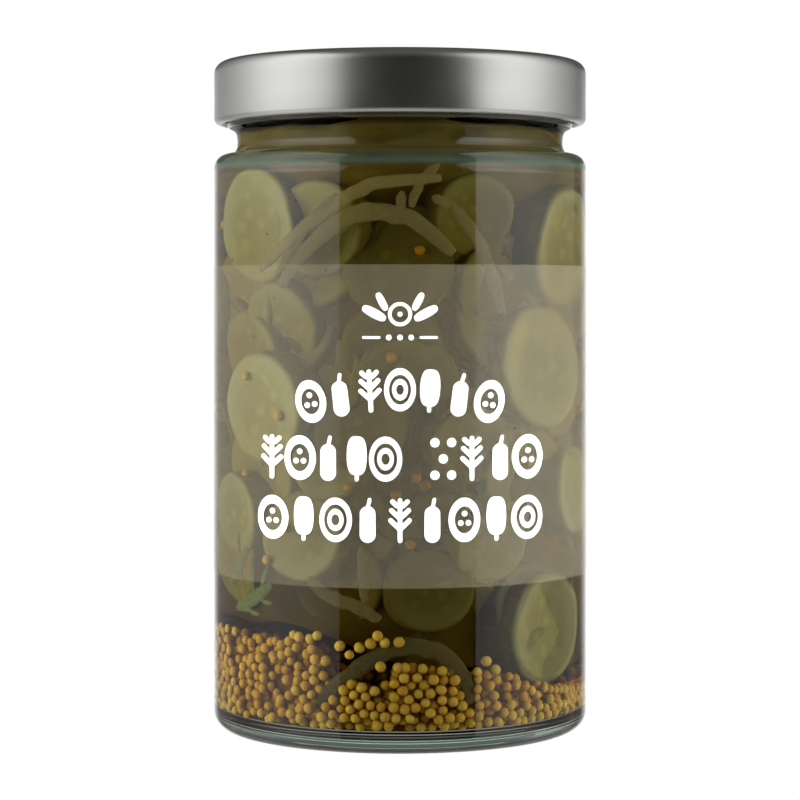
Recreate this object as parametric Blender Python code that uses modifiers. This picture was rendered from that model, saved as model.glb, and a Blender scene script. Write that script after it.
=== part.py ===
"""A shut glass jar of pickled cucumber slices with mustard seeds, onion strips and dill.

The jar stands on the ground, its axis is Z and its front looks along -Y. Sizes below are in
millimetres and MM turns them into Blender's metres. A place inside the jar is given by its turn
round the axis, in degrees from the front with the right side positive, and by its height.
"""

import math
import random

import bmesh
import bpy
from mathutils import Matrix, Vector
from mathutils.bvhtree import BVHTree

MM = 0.001
OBJECT_NAME = "pickle_jar"

# Driving sizes
JAR_HEIGHT = 152.6
BODY_RADIUS = 42.75
SIDES = 36
GAP = 0.3

# Glass
WALL = 2.55
INNER_RADIUS = BODY_RADIUS - WALL
BASE_CORNER = 4.1
RING_WIDTH = 2.4
PUSH_UP = 2.0
FLOOR_EDGE = 4.0
FLOOR_MIDDLE = 5.0
FLOOR_CORNER = 4.5
SHOULDER_HEIGHT = 131.3
SHOULDER_CORNER = 3.0
NECK_RADIUS = 37.4
NECK_WALL = 2.4
NECK_TOP = 134.6
BEAD_RADIUS = 1.2
BEAD_HEIGHT = 138.4
FINISH_RADIUS = 39.2
THREADS = 4
THREAD_SWEEP = 70.0
THREAD_DROP = 3.2
THREAD_TOP = 144.6
THREAD_RADIUS = 1.0

# Lid
LID_HEIGHT = 14.4
LID_METAL = 0.6
LID_CORNER = 2.8
LID_CURL = 1.4
LID_PANEL_DEPTH = 0.8
LID_PANEL_RADIUS = 35.0
LID_BUTTON_RADIUS = 12.5
LID_BUTTON_RISE = 0.5
LID_UNDERSIDE = JAR_HEIGHT - LID_METAL - 0.45
RIM_HEIGHT = LID_UNDERSIDE - 0.35

# Label film
LABEL_BOTTOM = 36.1
LABEL_TOP = 105.7
LABEL_GAP = 0.15
LABEL_FILM = 0.15

# Contents: the cucumber slices end inside PACK_RADIUS, and the thin room between them and the
# glass holds the strips, the dill and the seeds that stick to the slices.
PACK_RADIUS = 37.2
STRIP_RADIUS = 38.7
STRIP_FILM = 1.0
STRIP_WIDTH = 2.6
SEED_RADIUS = 1.15
SEED_SINK = 0.35
CORE_RADIUS = 29.0
CORE_BOTTOM = 28.0
CORE_TOP = 119.0
CORE_SIDES = 16
SLICE_SIDES = 12
SLICE_EDGE = 1.7
SLICE_HEIGHTS = (38.0, 58.5, 79.0, 99.5, 117.0)
SLICES_ROUND = 8
HEAP_RADIUS = 37.2
HEAP_LEFT = 24.4
HEAP_MIDDLE = 18.0
HEAP_RIGHT = 10.6
HEAP_STEPS = (-8.0, 27.0)
HEAP_SOFTNESS = 3.5
HEAP_SIDES = 24
HEAP_ROWS = 4
SEED_PITCH = 7.8
SEED_ROOM = 2.4

# The slices that show at the front: turn, height, radius, thickness, lean and how far the outer
# face stays inside PACK_RADIUS
FRONT_SLICES = (
    (-59.0, 115.0, 13.5, 9.0, 6.0, 0.0),
    (-1.0, 105.0, 12.0, 9.0, -8.0, 1.6),
    (75.0, 110.5, 14.6, 10.0, 8.0, 0.0),
    (-50.0, 94.0, 10.5, 8.0, 20.0, 3.0),
    (59.0, 82.5, 14.4, 10.0, -6.0, 0.0),
    (-55.0, 74.5, 12.6, 9.0, 5.0, 0.0),
    (2.0, 80.0, 11.5, 9.0, 14.0, 2.4),
    (80.0, 54.5, 11.0, 9.0, -5.0, 0.0),
    (-37.0, 45.5, 11.0, 9.0, -12.0, 1.2),
    (3.0, 56.5, 12.5, 9.0, -10.0, 2.0),
    (34.0, 45.0, 9.0, 8.0, 16.0, 1.2),
    (63.0, 25.0, 12.0, 9.0, 4.0, 0.0),
    (11.0, 34.5, 9.5, 8.0, -6.0, 1.6),
    (28.0, 117.5, 10.0, 8.0, 14.0, 2.6),
    (27.0, 66.5, 9.5, 8.0, 10.0, 3.2),
    (-27.0, 61.5, 9.0, 8.0, -14.0, 3.2),
    (-72.0, 50.5, 10.0, 8.0, 8.0, 0.6),
)
FRONT_TURN = 92.0

# Onion strips and dill: places along each, as turn and height
ONION_STRIPS = (
    ((-50.0, 104.5), (-34.0, 113.5), (-20.0, 120.5), (-8.0, 123.6), (13.0, 124.4)),
    ((-41.0, 101.0), (-28.0, 110.5), (-13.0, 116.6), (3.0, 115.6), (17.0, 108.0)),
    ((16.0, 118.5), (24.0, 112.0), (30.0, 103.0), (34.0, 95.0)),
    ((-30.0, 37.5), (-23.0, 34.0), (-14.0, 31.8), (-6.0, 29.0)),
    ((-27.0, 10.5), (-16.0, 17.0), (-1.0, 23.0), (12.0, 22.0), (20.0, 16.5), (22.5, 10.5)),
    ((96.0, 121.0), (114.0, 112.0), (128.0, 99.0), (134.0, 86.0)),
    ((150.0, 66.0), (165.0, 75.0), (182.0, 77.0), (198.0, 69.0)),
    ((212.0, 123.0), (228.0, 114.0), (241.0, 101.0), (247.0, 88.0)),
    ((105.0, 45.0), (121.0, 36.0), (139.0, 35.0), (152.0, 42.0)),
)
DILL_LEAVES = (
    ((-63.0, 29.0), (-54.0, 31.5), (-44.0, 35.5)),
    ((-67.0, 34.5), (-62.0, 38.0), (-56.0, 43.0)),
)
DILL_FILM = 0.7
DILL_WIDTH = 3.4

# Loose mustard seeds that stick to the slices: turn and height
LOOSE_SEEDS = (
    (7.3, 108.8), (-44.0, 102.0), (-3.1, 85.5), (-62.0, 81.0), (-45.0, 72.5), (-51.0, 66.5),
    (-67.0, 59.0), (-18.0, 57.2), (-1.6, 55.4), (6.2, 59.2), (9.7, 57.5), (-56.0, 46.0),
    (-44.0, 47.6), (-50.0, 40.5), (3.8, 44.8),
)
BACK_SEEDS = 6


def at(turn, height, radius):
    """The point at this turn round the axis, height and distance from the axis."""
    angle = math.radians(turn)
    return Vector((radius * math.sin(angle), -radius * math.cos(angle), height)) * MM


def arc(radius, height, size, start, end, steps):
    """Points of a profile on an arc about (radius, height), angles in degrees from outwards."""
    angles = [math.radians(start + (end - start) * i / steps) for i in range(steps + 1)]
    return [(radius + size * math.cos(a), height + size * math.sin(a)) for a in angles]


def material(name, colour, roughness, metallic=0.0, alpha=1.0):
    """A plain Principled material."""
    made = bpy.data.materials.new(name)
    made.use_nodes = True
    shader = made.node_tree.nodes["Principled BSDF"]
    shader.inputs["Base Color"].default_value = (*colour, 1.0)
    shader.inputs["Roughness"].default_value = roughness
    shader.inputs["Metallic"].default_value = metallic
    shader.inputs["Alpha"].default_value = alpha
    made.diffuse_color = (*colour, alpha)
    return made


def new_object(name, mesh, collection):
    made = bpy.data.objects.new(name, mesh)
    collection.objects.link(made)
    return made


def applied(thing):
    """The mesh of an object with its modifiers applied."""
    bpy.context.view_layer.update()
    graph = bpy.context.evaluated_depsgraph_get()
    return bpy.data.meshes.new_from_object(thing.evaluated_get(graph))


def turned(name, profile, collection, closed=False, sides=SIDES):
    """A profile of (radius, height) points in millimetres, turned round Z with a Screw."""
    mesh = bpy.data.meshes.new(name)
    points = [(radius * MM, 0.0, height * MM) for radius, height in profile]
    edges = [(i, i + 1) for i in range(len(points) - 1)]
    if closed:
        edges.append((len(points) - 1, 0))
    mesh.from_pydata(points, edges, [])
    made = new_object(name, mesh, collection)
    screw = made.modifiers.new("turn", "SCREW")
    screw.steps = sides
    screw.render_steps = sides
    screw.use_merge_vertices = True
    screw.merge_threshold = 0.00001
    return made


def fuse(base, pieces, collection, solver="EXACT"):
    """Joins the pieces to the base with one Boolean union, and removes them."""
    group = bpy.data.collections.new(base.name + "_pieces")
    bpy.context.scene.collection.children.link(group)
    for piece in pieces:
        group.objects.link(piece)
        collection.objects.unlink(piece)
    union = base.modifiers.new("union", "BOOLEAN")
    union.operation = "UNION"
    union.operand_type = "COLLECTION"
    union.collection = group
    union.solver = solver
    mesh = applied(base)
    base.modifiers.clear()
    base.data = mesh
    for piece in pieces:
        bpy.data.objects.remove(piece)
    bpy.data.collections.remove(group)


def drop_scraps(thing):
    """Keeps the largest closed body of a mesh that fusing left with loose scraps."""
    mesh = bmesh.new()
    mesh.from_mesh(thing.data)
    left = set(mesh.verts)
    bodies = []
    while left:
        body = {left.pop()}
        edge_of_body = set(body)
        while edge_of_body:
            near = {e.other_vert(v) for v in edge_of_body for e in v.link_edges} & left
            left -= near
            body |= near
            edge_of_body = near
        bodies.append(body)
    largest = max(bodies, key=len)
    scraps = [v for v in mesh.verts if v not in largest]
    bmesh.ops.delete(mesh, geom=scraps, context="VERTS")
    mesh.to_mesh(thing.data)
    mesh.free()


def shade_round(thing, sharp=math.radians(40)):
    thing.data.shade_smooth()
    thing.data.set_sharp_from_angle(angle=sharp)


def glass_profile():
    """Half section of the glass: up inside from the middle of the floor, and down outside."""
    neck_inside = NECK_RADIUS - NECK_WALL
    floor = [(0.0, FLOOR_MIDDLE), (0.55 * INNER_RADIUS, 0.6 * FLOOR_MIDDLE + 0.4 * FLOOR_EDGE)]
    floor += arc(
        INNER_RADIUS - FLOOR_CORNER, FLOOR_EDGE + FLOOR_CORNER, FLOOR_CORNER, -90, 0, 3
    )
    shoulder_inside = arc(INNER_RADIUS - 3.5, SHOULDER_HEIGHT - 5.4, 3.5, 0, 60, 2)
    neck = [
        (neck_inside + 1.0, SHOULDER_HEIGHT - 0.4),
        (neck_inside + 0.2, SHOULDER_HEIGHT + 1.3),
        (neck_inside, NECK_TOP),
    ]
    rim = arc(neck_inside + 1.2, RIM_HEIGHT - 1.2, 1.2, 180, 90, 2)
    rim += arc(FINISH_RADIUS - 1.2, RIM_HEIGHT - 1.2, 1.2, 90, 0, 2)
    bead = arc(BEAD_RADIUS + NECK_RADIUS, BEAD_HEIGHT, BEAD_RADIUS, 60, -60, 3)
    under_bead = [(NECK_RADIUS + 0.6, BEAD_HEIGHT - 1.8), (NECK_RADIUS + 0.1, NECK_TOP + 1.1)]
    outside_neck = [
        (NECK_RADIUS, SHOULDER_HEIGHT + 2.1),
        (NECK_RADIUS + 0.35, SHOULDER_HEIGHT + 1.2),
        (NECK_RADIUS + 1.2, SHOULDER_HEIGHT + 0.55),
    ]
    shoulder = arc(
        BODY_RADIUS - SHOULDER_CORNER,
        SHOULDER_HEIGHT - SHOULDER_CORNER,
        SHOULDER_CORNER,
        90,
        0,
        3,
    )
    base = arc(BODY_RADIUS - BASE_CORNER, BASE_CORNER, BASE_CORNER, 0, -90, 3)
    ring_inside = BODY_RADIUS - BASE_CORNER - RING_WIDTH
    under = [
        (ring_inside, 0.0),
        (ring_inside - 1.5, 0.5 * PUSH_UP),
        (ring_inside - 4.5, 0.8 * PUSH_UP),
        (0.0, PUSH_UP),
    ]
    inside = floor + shoulder_inside + neck + rim
    return inside + bead + under_bead + outside_neck + shoulder + base + under


def thread(number, collection):
    """One sloping thread of the glass finish, a short bent bar under the lid."""
    start = 360.0 * number / THREADS + 20.0
    curve = bpy.data.curves.new("thread", "CURVE")
    curve.dimensions = "3D"
    curve.bevel_depth = THREAD_RADIUS * MM
    curve.bevel_resolution = 0
    curve.use_fill_caps = True
    steps = 7
    line = curve.splines.new("POLY")
    line.points.add(steps)
    for i, point in enumerate(line.points):
        share = i / steps
        turn = start + THREAD_SWEEP * share
        point.co = (*at(turn, THREAD_TOP - THREAD_DROP * share, FINISH_RADIUS + 0.1), 1.0)
        point.radius = 0.45 + 0.55 * math.sin(math.pi * (0.08 + 0.84 * share))
    bent = new_object("thread_curve", curve, collection)
    mesh = applied(bent)
    bpy.data.objects.remove(bent)
    welded = bmesh.new()
    welded.from_mesh(mesh)
    bmesh.ops.remove_doubles(welded, verts=welded.verts, dist=0.00001)
    bmesh.ops.recalc_face_normals(welded, faces=welded.faces)
    welded.to_mesh(mesh)
    welded.free()
    return new_object("thread_%d" % number, mesh, collection)


def add_glass(collection):
    """The jar: a turned shell with a rim, sloping threads, a bead, a shoulder and a push-up."""
    glass = turned("jar_glass", glass_profile(), collection)
    glass.data = applied(glass)
    glass.modifiers.clear()
    fuse(glass, [thread(i, collection) for i in range(THREADS)], collection)
    glass.data.materials.append(material("clear_glass", (0.62, 0.70, 0.66), 0.05, alpha=0.3))
    shade_round(glass)
    return glass


def lid_profile():
    """Half section of the lid, from the middle of its top round the curl to the underside."""
    button_edge = JAR_HEIGHT - LID_PANEL_DEPTH
    inside = BODY_RADIUS - LID_METAL
    skirt_bottom = JAR_HEIGHT - LID_HEIGHT
    top = [
        (0.0, button_edge + LID_BUTTON_RISE),
        (0.72 * LID_BUTTON_RADIUS, button_edge + 0.8 * LID_BUTTON_RISE),
        (LID_BUTTON_RADIUS, button_edge),
        (LID_PANEL_RADIUS, button_edge),
        (LID_PANEL_RADIUS + 1.0, JAR_HEIGHT - 0.2),
        (LID_PANEL_RADIUS + 2.0, JAR_HEIGHT),
    ]
    corner = arc(BODY_RADIUS - LID_CORNER, JAR_HEIGHT - LID_CORNER, LID_CORNER, 90, 0, 4)
    curl = arc(BODY_RADIUS - LID_CURL, skirt_bottom + LID_CURL, LID_CURL, 0, -180, 4)
    curl_top = [
        (BODY_RADIUS - 1.7 * LID_CURL, skirt_bottom + 2.2 * LID_CURL),
        (inside, skirt_bottom + 2.6 * LID_CURL),
    ]
    under = [
        (inside, JAR_HEIGHT - LID_CORNER),
        (BODY_RADIUS - 0.9 * LID_CORNER, LID_UNDERSIDE),
        (LID_PANEL_RADIUS - 0.6, LID_UNDERSIDE),
        (LID_PANEL_RADIUS - 1.0, button_edge - LID_METAL),
        (0.0, button_edge - LID_METAL),
    ]
    return top + corner + curl + curl_top + under


def add_lid(collection):
    """The twist lid: a metal cap with a rounded corner, a sunk panel and a rolled edge."""
    lid = turned("lid", lid_profile(), collection)
    lid.data.materials.append(material("satin_tinplate", (0.62, 0.63, 0.62), 0.3, 1.0))
    lid.data = applied(lid)
    lid.modifiers.clear()
    shade_round(lid)
    return lid


def add_label(collection):
    """The clear film label, a sleeve round the straight wall."""
    inside = BODY_RADIUS + LABEL_GAP
    outside = inside + LABEL_FILM
    section = [
        (outside, LABEL_TOP),
        (outside, LABEL_BOTTOM),
        (inside, LABEL_BOTTOM),
        (inside, LABEL_TOP),
    ]
    label = turned("label_film", section, collection, closed=True)
    label.data.materials.append(material("label_film", (0.75, 0.74, 0.70), 0.35, alpha=0.35))
    return label


def heap_top(x, y):
    """Height of the mustard seeds' heap, which falls in two soft steps from left to right."""
    left, right = [1.0 / (1.0 + math.exp((x - edge) / HEAP_SOFTNESS)) for edge in HEAP_STEPS]
    top = HEAP_RIGHT + (HEAP_MIDDLE - HEAP_RIGHT) * right + (HEAP_LEFT - HEAP_MIDDLE) * left
    return top + 0.6 * math.sin(0.16 * x + 0.11 * y) + 0.5 * math.sin(0.27 * y - 0.9)


def lifted(place):
    """The same place, raised where the slice's rim would dip into the mustard seeds."""
    turn, height, size, thick, lean, inset = place
    lift = 0.0
    for i in range(24):
        angle = math.tau * i / 24
        aside = math.degrees(math.atan2(size * math.cos(angle), PACK_RADIUS - inset))
        for depth in (0.0, thick):
            spot = at(turn + aside, height + size * math.sin(angle), PACK_RADIUS - inset - depth)
            seeds = heap_top(spot.x / MM, spot.y / MM) + SEED_ROOM
            lift = max(lift, seeds - spot.z / MM)
    return (turn, height + lift, size, thick, lean, inset)


def slice_places():
    """Every slice: the ones seen at the front, and rows of others round the rest of the jar."""
    chance = random.Random(7)
    places = list(FRONT_SLICES)
    for row, height in enumerate(SLICE_HEIGHTS):
        for i in range(SLICES_ROUND):
            turn = 360.0 * (i + 0.5 * (row % 2)) / SLICES_ROUND + chance.uniform(-5, 5)
            size = chance.uniform(11.0, 13.6)
            thick = chance.uniform(7.5, 10.0)
            lean = chance.uniform(-16, 16)
            lift = chance.uniform(-1.5, 1.5)
            if FRONT_TURN < turn % 360.0 < 360.0 - FRONT_TURN:
                places.append((turn, height + lift, size, thick, lean, chance.uniform(0, 1.4)))
    return [lifted(place) for place in places]


def face_distance(size, lean, inset):
    """How far from the axis a slice's outer face may be, so that its rim stays inside."""
    reach = size * math.cos(math.radians(lean))
    out = size * abs(math.sin(math.radians(lean)))
    return math.sqrt((PACK_RADIUS - inset) ** 2 - reach**2) - 0.45 * out


def cucumber_slice(place, chance, collection):
    """A round slice, its flat face looking out through the glass and bevelled round its rim."""
    turn, height, size, thick, lean, inset = place
    disc = bmesh.new()
    bmesh.ops.create_cone(
        disc,
        cap_ends=True,
        segments=SLICE_SIDES,
        radius1=size,
        radius2=size,
        depth=thick,
    )
    rim = [e for e in disc.edges if all(v.co.z > 0.0 for v in e.verts)]
    bmesh.ops.bevel(disc, geom=rim, offset=SLICE_EDGE, segments=1, affect="EDGES")
    mesh = bpy.data.meshes.new("slice")
    disc.to_mesh(mesh)
    disc.free()
    middle = face_distance(size, lean, inset) - 0.5 * thick
    outwards = at(turn, 0.0, 1.0).to_track_quat("Z", "Y").to_matrix().to_4x4()
    tip = Matrix.Rotation(math.radians(lean), 4, "X")
    spin = Matrix.Rotation(chance.uniform(0, math.tau), 4, "Z")
    oval = Matrix.Diagonal((chance.uniform(0.93, 1.0), chance.uniform(0.93, 1.0), 1.0, 1.0))
    place_in_jar = Matrix.Translation(at(turn, height, middle)) @ outwards @ tip @ spin
    mesh.transform(place_in_jar @ Matrix.Scale(MM, 4) @ oval)
    return new_object("slice", mesh, collection)


def seed_ball(centre, chance, collection, mesh_of_seed):
    """One mustard seed: a small ball with few sides, turned at random."""
    seed = mesh_of_seed.copy()
    size = SEED_RADIUS * chance.uniform(0.92, 1.08)
    turned_by = Matrix.Rotation(chance.uniform(0, math.tau), 4, Vector((1, 2, 3)).normalized())
    seed.transform(Matrix.Translation(centre) @ turned_by @ Matrix.Scale(size * MM, 4))
    return new_object("seed", seed, collection)


def seed_mesh():
    """A ball of unit radius with twenty faces."""
    ball = bmesh.new()
    bmesh.ops.create_icosphere(ball, subdivisions=1, radius=1.0)
    mesh = bpy.data.meshes.new("seed")
    ball.to_mesh(mesh)
    ball.free()
    return mesh


def smooth_line(points, steps):
    """Places read off a smooth curve through the given ones, steps to each stretch."""
    ends = [points[0]] + list(points) + [points[-1]]
    found = []
    for a, b, c, d in zip(ends, ends[1:], ends[2:], ends[3:]):
        for i in range(steps):
            t = i / steps
            found.append(
                tuple(
                    0.5
                    * (
                        2 * q
                        + (r - p) * t
                        + (2 * p - 5 * q + 4 * r - s) * t**2
                        + (3 * q - p - 3 * r + s) * t**3
                    )
                    for p, q, r, s in zip(a, b, c, d)
                )
            )
    found.append(points[-1])
    return found


def strip(name, places, width, film, taper, collection):
    """A thin strip bent round inside the glass: a grid laid along the places, made solid."""
    line = [at(turn, height, STRIP_RADIUS) for turn, height in smooth_line(places, 4)]
    count = len(line)
    grid = bmesh.new()
    bmesh.ops.create_grid(grid, x_segments=count - 1, y_segments=1, size=0.5)
    for vertex in grid.verts:
        i = round((vertex.co.x + 0.5) * (count - 1))
        along = line[min(i + 1, count - 1)] - line[max(i - 1, 0)]
        outwards = Vector((line[i].x, line[i].y, 0.0)).normalized()
        across = along.cross(outwards).normalized()
        share = i / (count - 1)
        room = 1.0 - taper * (2 * share - 1) ** 2
        vertex.co = line[i] + across * math.copysign(0.5 * width * room * MM, vertex.co.y)
    mesh = bpy.data.meshes.new(name)
    grid.to_mesh(mesh)
    grid.free()
    made = new_object(name, mesh, collection)
    solid = made.modifiers.new("film", "SOLIDIFY")
    solid.thickness = film * MM
    solid.offset = 0.0
    made.data = applied(made)
    made.modifiers.clear()
    return made


def add_strips(collection):
    """The onion strips and dill leaves, one object each. It returns every point of them."""
    onion = material("pickled_onion", (0.42, 0.40, 0.22), 0.4)
    dill = material("dill", (0.22, 0.30, 0.10), 0.5)
    points = []
    for i, places in enumerate(ONION_STRIPS):
        made = strip("onion_strip_%d" % (i + 1), places, STRIP_WIDTH, STRIP_FILM, 0.35, collection)
        made.data.materials.append(onion)
        points += [v.co.copy() for v in made.data.vertices]
    for i, places in enumerate(DILL_LEAVES):
        made = strip("dill_leaf_%d" % (i + 1), places, DILL_WIDTH, DILL_FILM, 0.7, collection)
        made.data.materials.append(dill)
        points += [v.co.copy() for v in made.data.vertices]
    return points


def clear_of(centre, points):
    """True if a seed here would stay clear of the strips."""
    room = (SEED_RADIUS * 1.08 + GAP + 0.6) * MM
    return all((centre - point).length > room for point in points)


def add_cucumbers(strips, collection):
    """The heap of slices round a core, with loose mustard seeds on the slices."""
    chance = random.Random(11)
    bpy.ops.mesh.primitive_cylinder_add(
        vertices=CORE_SIDES,
        radius=CORE_RADIUS * MM,
        depth=(CORE_TOP - CORE_BOTTOM) * MM,
        location=(0.0, 0.0, 0.5 * (CORE_TOP + CORE_BOTTOM) * MM),
    )
    heap = bpy.context.active_object
    heap.name = "cucumber_heap"
    for user in list(heap.users_collection):
        user.objects.unlink(heap)
    collection.objects.link(heap)
    fuse(heap, [cucumber_slice(p, chance, collection) for p in slice_places()], collection)
    heap.data.transform(heap.matrix_world)
    heap.matrix_world = Matrix()
    surface = BVHTree.FromPolygons(
        [v.co for v in heap.data.vertices], [tuple(p.vertices) for p in heap.data.polygons]
    )
    ball = seed_mesh()
    places = list(LOOSE_SEEDS)
    for _ in range(BACK_SEEDS):
        places.append((chance.uniform(FRONT_TURN, 360 - FRONT_TURN), chance.uniform(34, 118)))
    seeds = []
    for turn, height in places:
        start = at(turn, height, INNER_RADIUS)
        inwards = at(turn, 0.0, -1.0).normalized()
        hit = surface.ray_cast(start, inwards)[0]
        if hit is None:
            continue
        centre = hit - inwards * (SEED_RADIUS - SEED_SINK) * MM
        if clear_of(centre, strips):
            seeds.append(seed_ball(centre, chance, collection, ball))
    fuse(heap, seeds, collection)
    drop_scraps(heap)
    heap.data.materials.append(material("pickled_cucumber", (0.33, 0.34, 0.16), 0.35))
    return heap


def heap_seed_centres(chance):
    """Seed places in even rows up the heap's side and across its top."""
    around = round(math.tau * HEAP_RADIUS / SEED_PITCH)
    centres = []
    for row in range(HEAP_ROWS):
        height = 7.2 + row * 0.72 * SEED_PITCH
        for i in range(around):
            turn = 360.0 * (i + 0.5 * (row % 2)) / around + chance.uniform(-1.2, 1.2)
            centre = at(turn, height + chance.uniform(-0.5, 0.5), HEAP_RADIUS + 0.3)
            if centre.z < (heap_top(centre.x / MM, centre.y / MM) - 0.2) * MM:
                centres.append(centre)
    for radius in (0.9 * HEAP_RADIUS, 0.55 * HEAP_RADIUS):
        ring = round(math.tau * radius / (1.7 * SEED_PITCH))
        for i in range(ring):
            spot = at(360.0 * i / ring + chance.uniform(-6, 6), 0.0, radius)
            x, y = spot.x / MM, spot.y / MM
            centres.append(Vector((x, y, heap_top(x, y) + 0.35)) * MM)
    return centres


def add_seed_heap(strips, collection):
    """The mustard seeds on the floor: a core with an uneven top, and seeds fused on it."""
    chance = random.Random(5)
    bottom = FLOOR_MIDDLE + GAP
    outline = [(0.0, 20.0), (0.4 * HEAP_RADIUS, 20.0), (0.8 * HEAP_RADIUS, 20.0)]
    outline += [(HEAP_RADIUS, 20.0), (HEAP_RADIUS, bottom + 1.6), (HEAP_RADIUS - 2.2, bottom)]
    outline += [(0.0, bottom)]
    heap = turned("mustard_seed_heap", outline, collection, sides=HEAP_SIDES)
    heap.data = applied(heap)
    heap.modifiers.clear()
    for vertex in heap.data.vertices:
        if vertex.co.z > 19.0 * MM:
            vertex.co.z = heap_top(vertex.co.x / MM, vertex.co.y / MM) * MM
    ball = seed_mesh()
    centres = [c for c in heap_seed_centres(chance) if clear_of(c, strips)]
    fuse(heap, [seed_ball(c, chance, collection, ball) for c in centres], collection, "MANIFOLD")
    drop_scraps(heap)
    heap.data.materials.append(material("mustard_seed", (0.48, 0.31, 0.06), 0.4))
    return heap


def main():
    for thing in list(bpy.data.objects):
        bpy.data.objects.remove(thing)
    parts = bpy.data.collections.new(OBJECT_NAME)
    bpy.context.scene.collection.children.link(parts)
    add_glass(parts)
    add_lid(parts)
    add_label(parts)
    strips = add_strips(parts)
    add_cucumbers(strips, parts)
    add_seed_heap(strips, parts)


main()
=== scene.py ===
"""Looks of a shut glass jar of pickled cucumber slices, with mustard seeds, onion strips and dill.

Sizes are in millimetres where a name or a comment says so, and MM turns them into metres. A place
inside the jar is given by its turn round the axis, in degrees from the front with the right side
positive, and by its height.
"""

import math
import random

import bpy
import numpy as np
from mathutils import Matrix, Vector, kdtree, noise
from mathutils.bvhtree import BVHTree


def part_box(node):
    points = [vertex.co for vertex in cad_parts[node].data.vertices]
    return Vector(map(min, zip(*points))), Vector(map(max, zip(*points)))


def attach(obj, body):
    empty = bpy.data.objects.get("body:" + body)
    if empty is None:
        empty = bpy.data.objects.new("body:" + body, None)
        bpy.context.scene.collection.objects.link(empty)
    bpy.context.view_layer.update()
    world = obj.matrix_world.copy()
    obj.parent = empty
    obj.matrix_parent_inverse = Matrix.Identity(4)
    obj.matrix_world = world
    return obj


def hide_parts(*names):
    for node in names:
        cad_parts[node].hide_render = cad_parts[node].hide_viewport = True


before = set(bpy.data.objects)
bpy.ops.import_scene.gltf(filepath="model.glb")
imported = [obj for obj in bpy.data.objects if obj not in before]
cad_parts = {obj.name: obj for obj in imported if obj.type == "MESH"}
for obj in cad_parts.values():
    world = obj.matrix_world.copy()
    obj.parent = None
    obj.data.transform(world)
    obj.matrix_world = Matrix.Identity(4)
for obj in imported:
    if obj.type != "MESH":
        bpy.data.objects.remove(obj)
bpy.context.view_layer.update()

bl_info = {
    "name": "Pickle Jar",
    "version": (1, 0, 0),
    "blender": (4, 5, 0),
    "location": "3D View > Sidebar > Pickle Jar",
    "description": "Builds a shut glass jar of pickled cucumber slices, piece by piece",
    "category": "Add Mesh",
}

MM = 0.001
BODY = "root"

# Glass: the wall runs as on a blown food jar, thick in the base and the shoulder
BODY_RADIUS = 42.75
INNER_RADIUS = 40.2
BASE_CORNER = 4.1
FLOOR_CORNER = 4.5
FLOOR_EDGE = 4.0
FLOOR_MIDDLE = 5.0
PUSH_UP = 2.0
SHOULDER = 131.3
SHOULDER_CORNER = 3.0
NECK_RADIUS = 37.4
NECK_INSIDE = 35.0
FINISH_RADIUS = 39.2
RIM_HEIGHT = 151.2
BRINE_TOP = 147.0
JAR_HEIGHT = 152.6
LID_BOTTOM = 138.2

# The room that the contents fill
PACK_RADIUS = 37.2
STRIP_RADIUS = 38.7
CORE_BOTTOM = 28.0
CORE_TOP = 119.0
NECK_TOP = 143.0
SEEDS_IN_HEAP = 2300

# Slices that show at the front: turn, height, radius, thickness, lean, distance inside the pack
# and how light the flesh is. The slices that lie deeper at the front middle are mostly given
# darker flesh, which paints shade on them.
FRONT_SLICES = (
    (-59.0, 115.0, 13.5, 9.0, 6.0, 0.0, 1.0),
    (-1.0, 105.0, 12.0, 9.0, -8.0, 3.2, 0.62),
    (75.0, 110.5, 14.6, 10.0, 8.0, 0.0, 0.9),
    (-50.0, 94.0, 10.5, 8.0, 20.0, 3.0, 0.9),
    (59.0, 82.5, 14.4, 10.0, -6.0, 0.0, 1.15),
    (-55.0, 74.5, 12.6, 9.0, 5.0, 0.0, 1.2),
    (2.0, 80.0, 11.5, 9.0, 14.0, 4.2, 0.8),
    (80.0, 54.5, 11.0, 9.0, -5.0, 0.0, 0.9),
    (-37.0, 45.5, 11.0, 9.0, -12.0, 1.2, 1.0),
    (3.0, 56.5, 12.5, 9.0, -10.0, 4.0, 0.62),
    (34.0, 45.0, 9.0, 8.0, 16.0, 1.2, 0.9),
    (60.0, 25.0, 13.4, 9.0, 2.0, 0.0, 0.85),
    (11.0, 34.5, 9.5, 8.0, -6.0, 3.4, 0.6),
    (28.0, 117.5, 10.0, 8.0, 14.0, 2.6, 0.7),
    (27.0, 66.5, 9.5, 8.0, 10.0, 3.2, 0.85),
    (-27.0, 61.5, 9.0, 8.0, -14.0, 3.2, 1.0),
    (-72.0, 50.5, 10.0, 8.0, 8.0, 0.6, 0.95),
)
SLICE_HEIGHTS = (38.0, 58.5, 79.0, 99.5, 117.0)
SLICES_ROUND = 8
# Rows of the slices behind these: height, and how light the flesh is
DEEP_ROWS = ((30.0, 0.6), (48.0, 0.85), (68.0, 0.9), (90.0, 0.8), (112.0, 0.65))
FRONT_TURN = 97.0
# This one reaches down behind the mustard seeds
LOW_SLICE = FRONT_SLICES[11]
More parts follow.
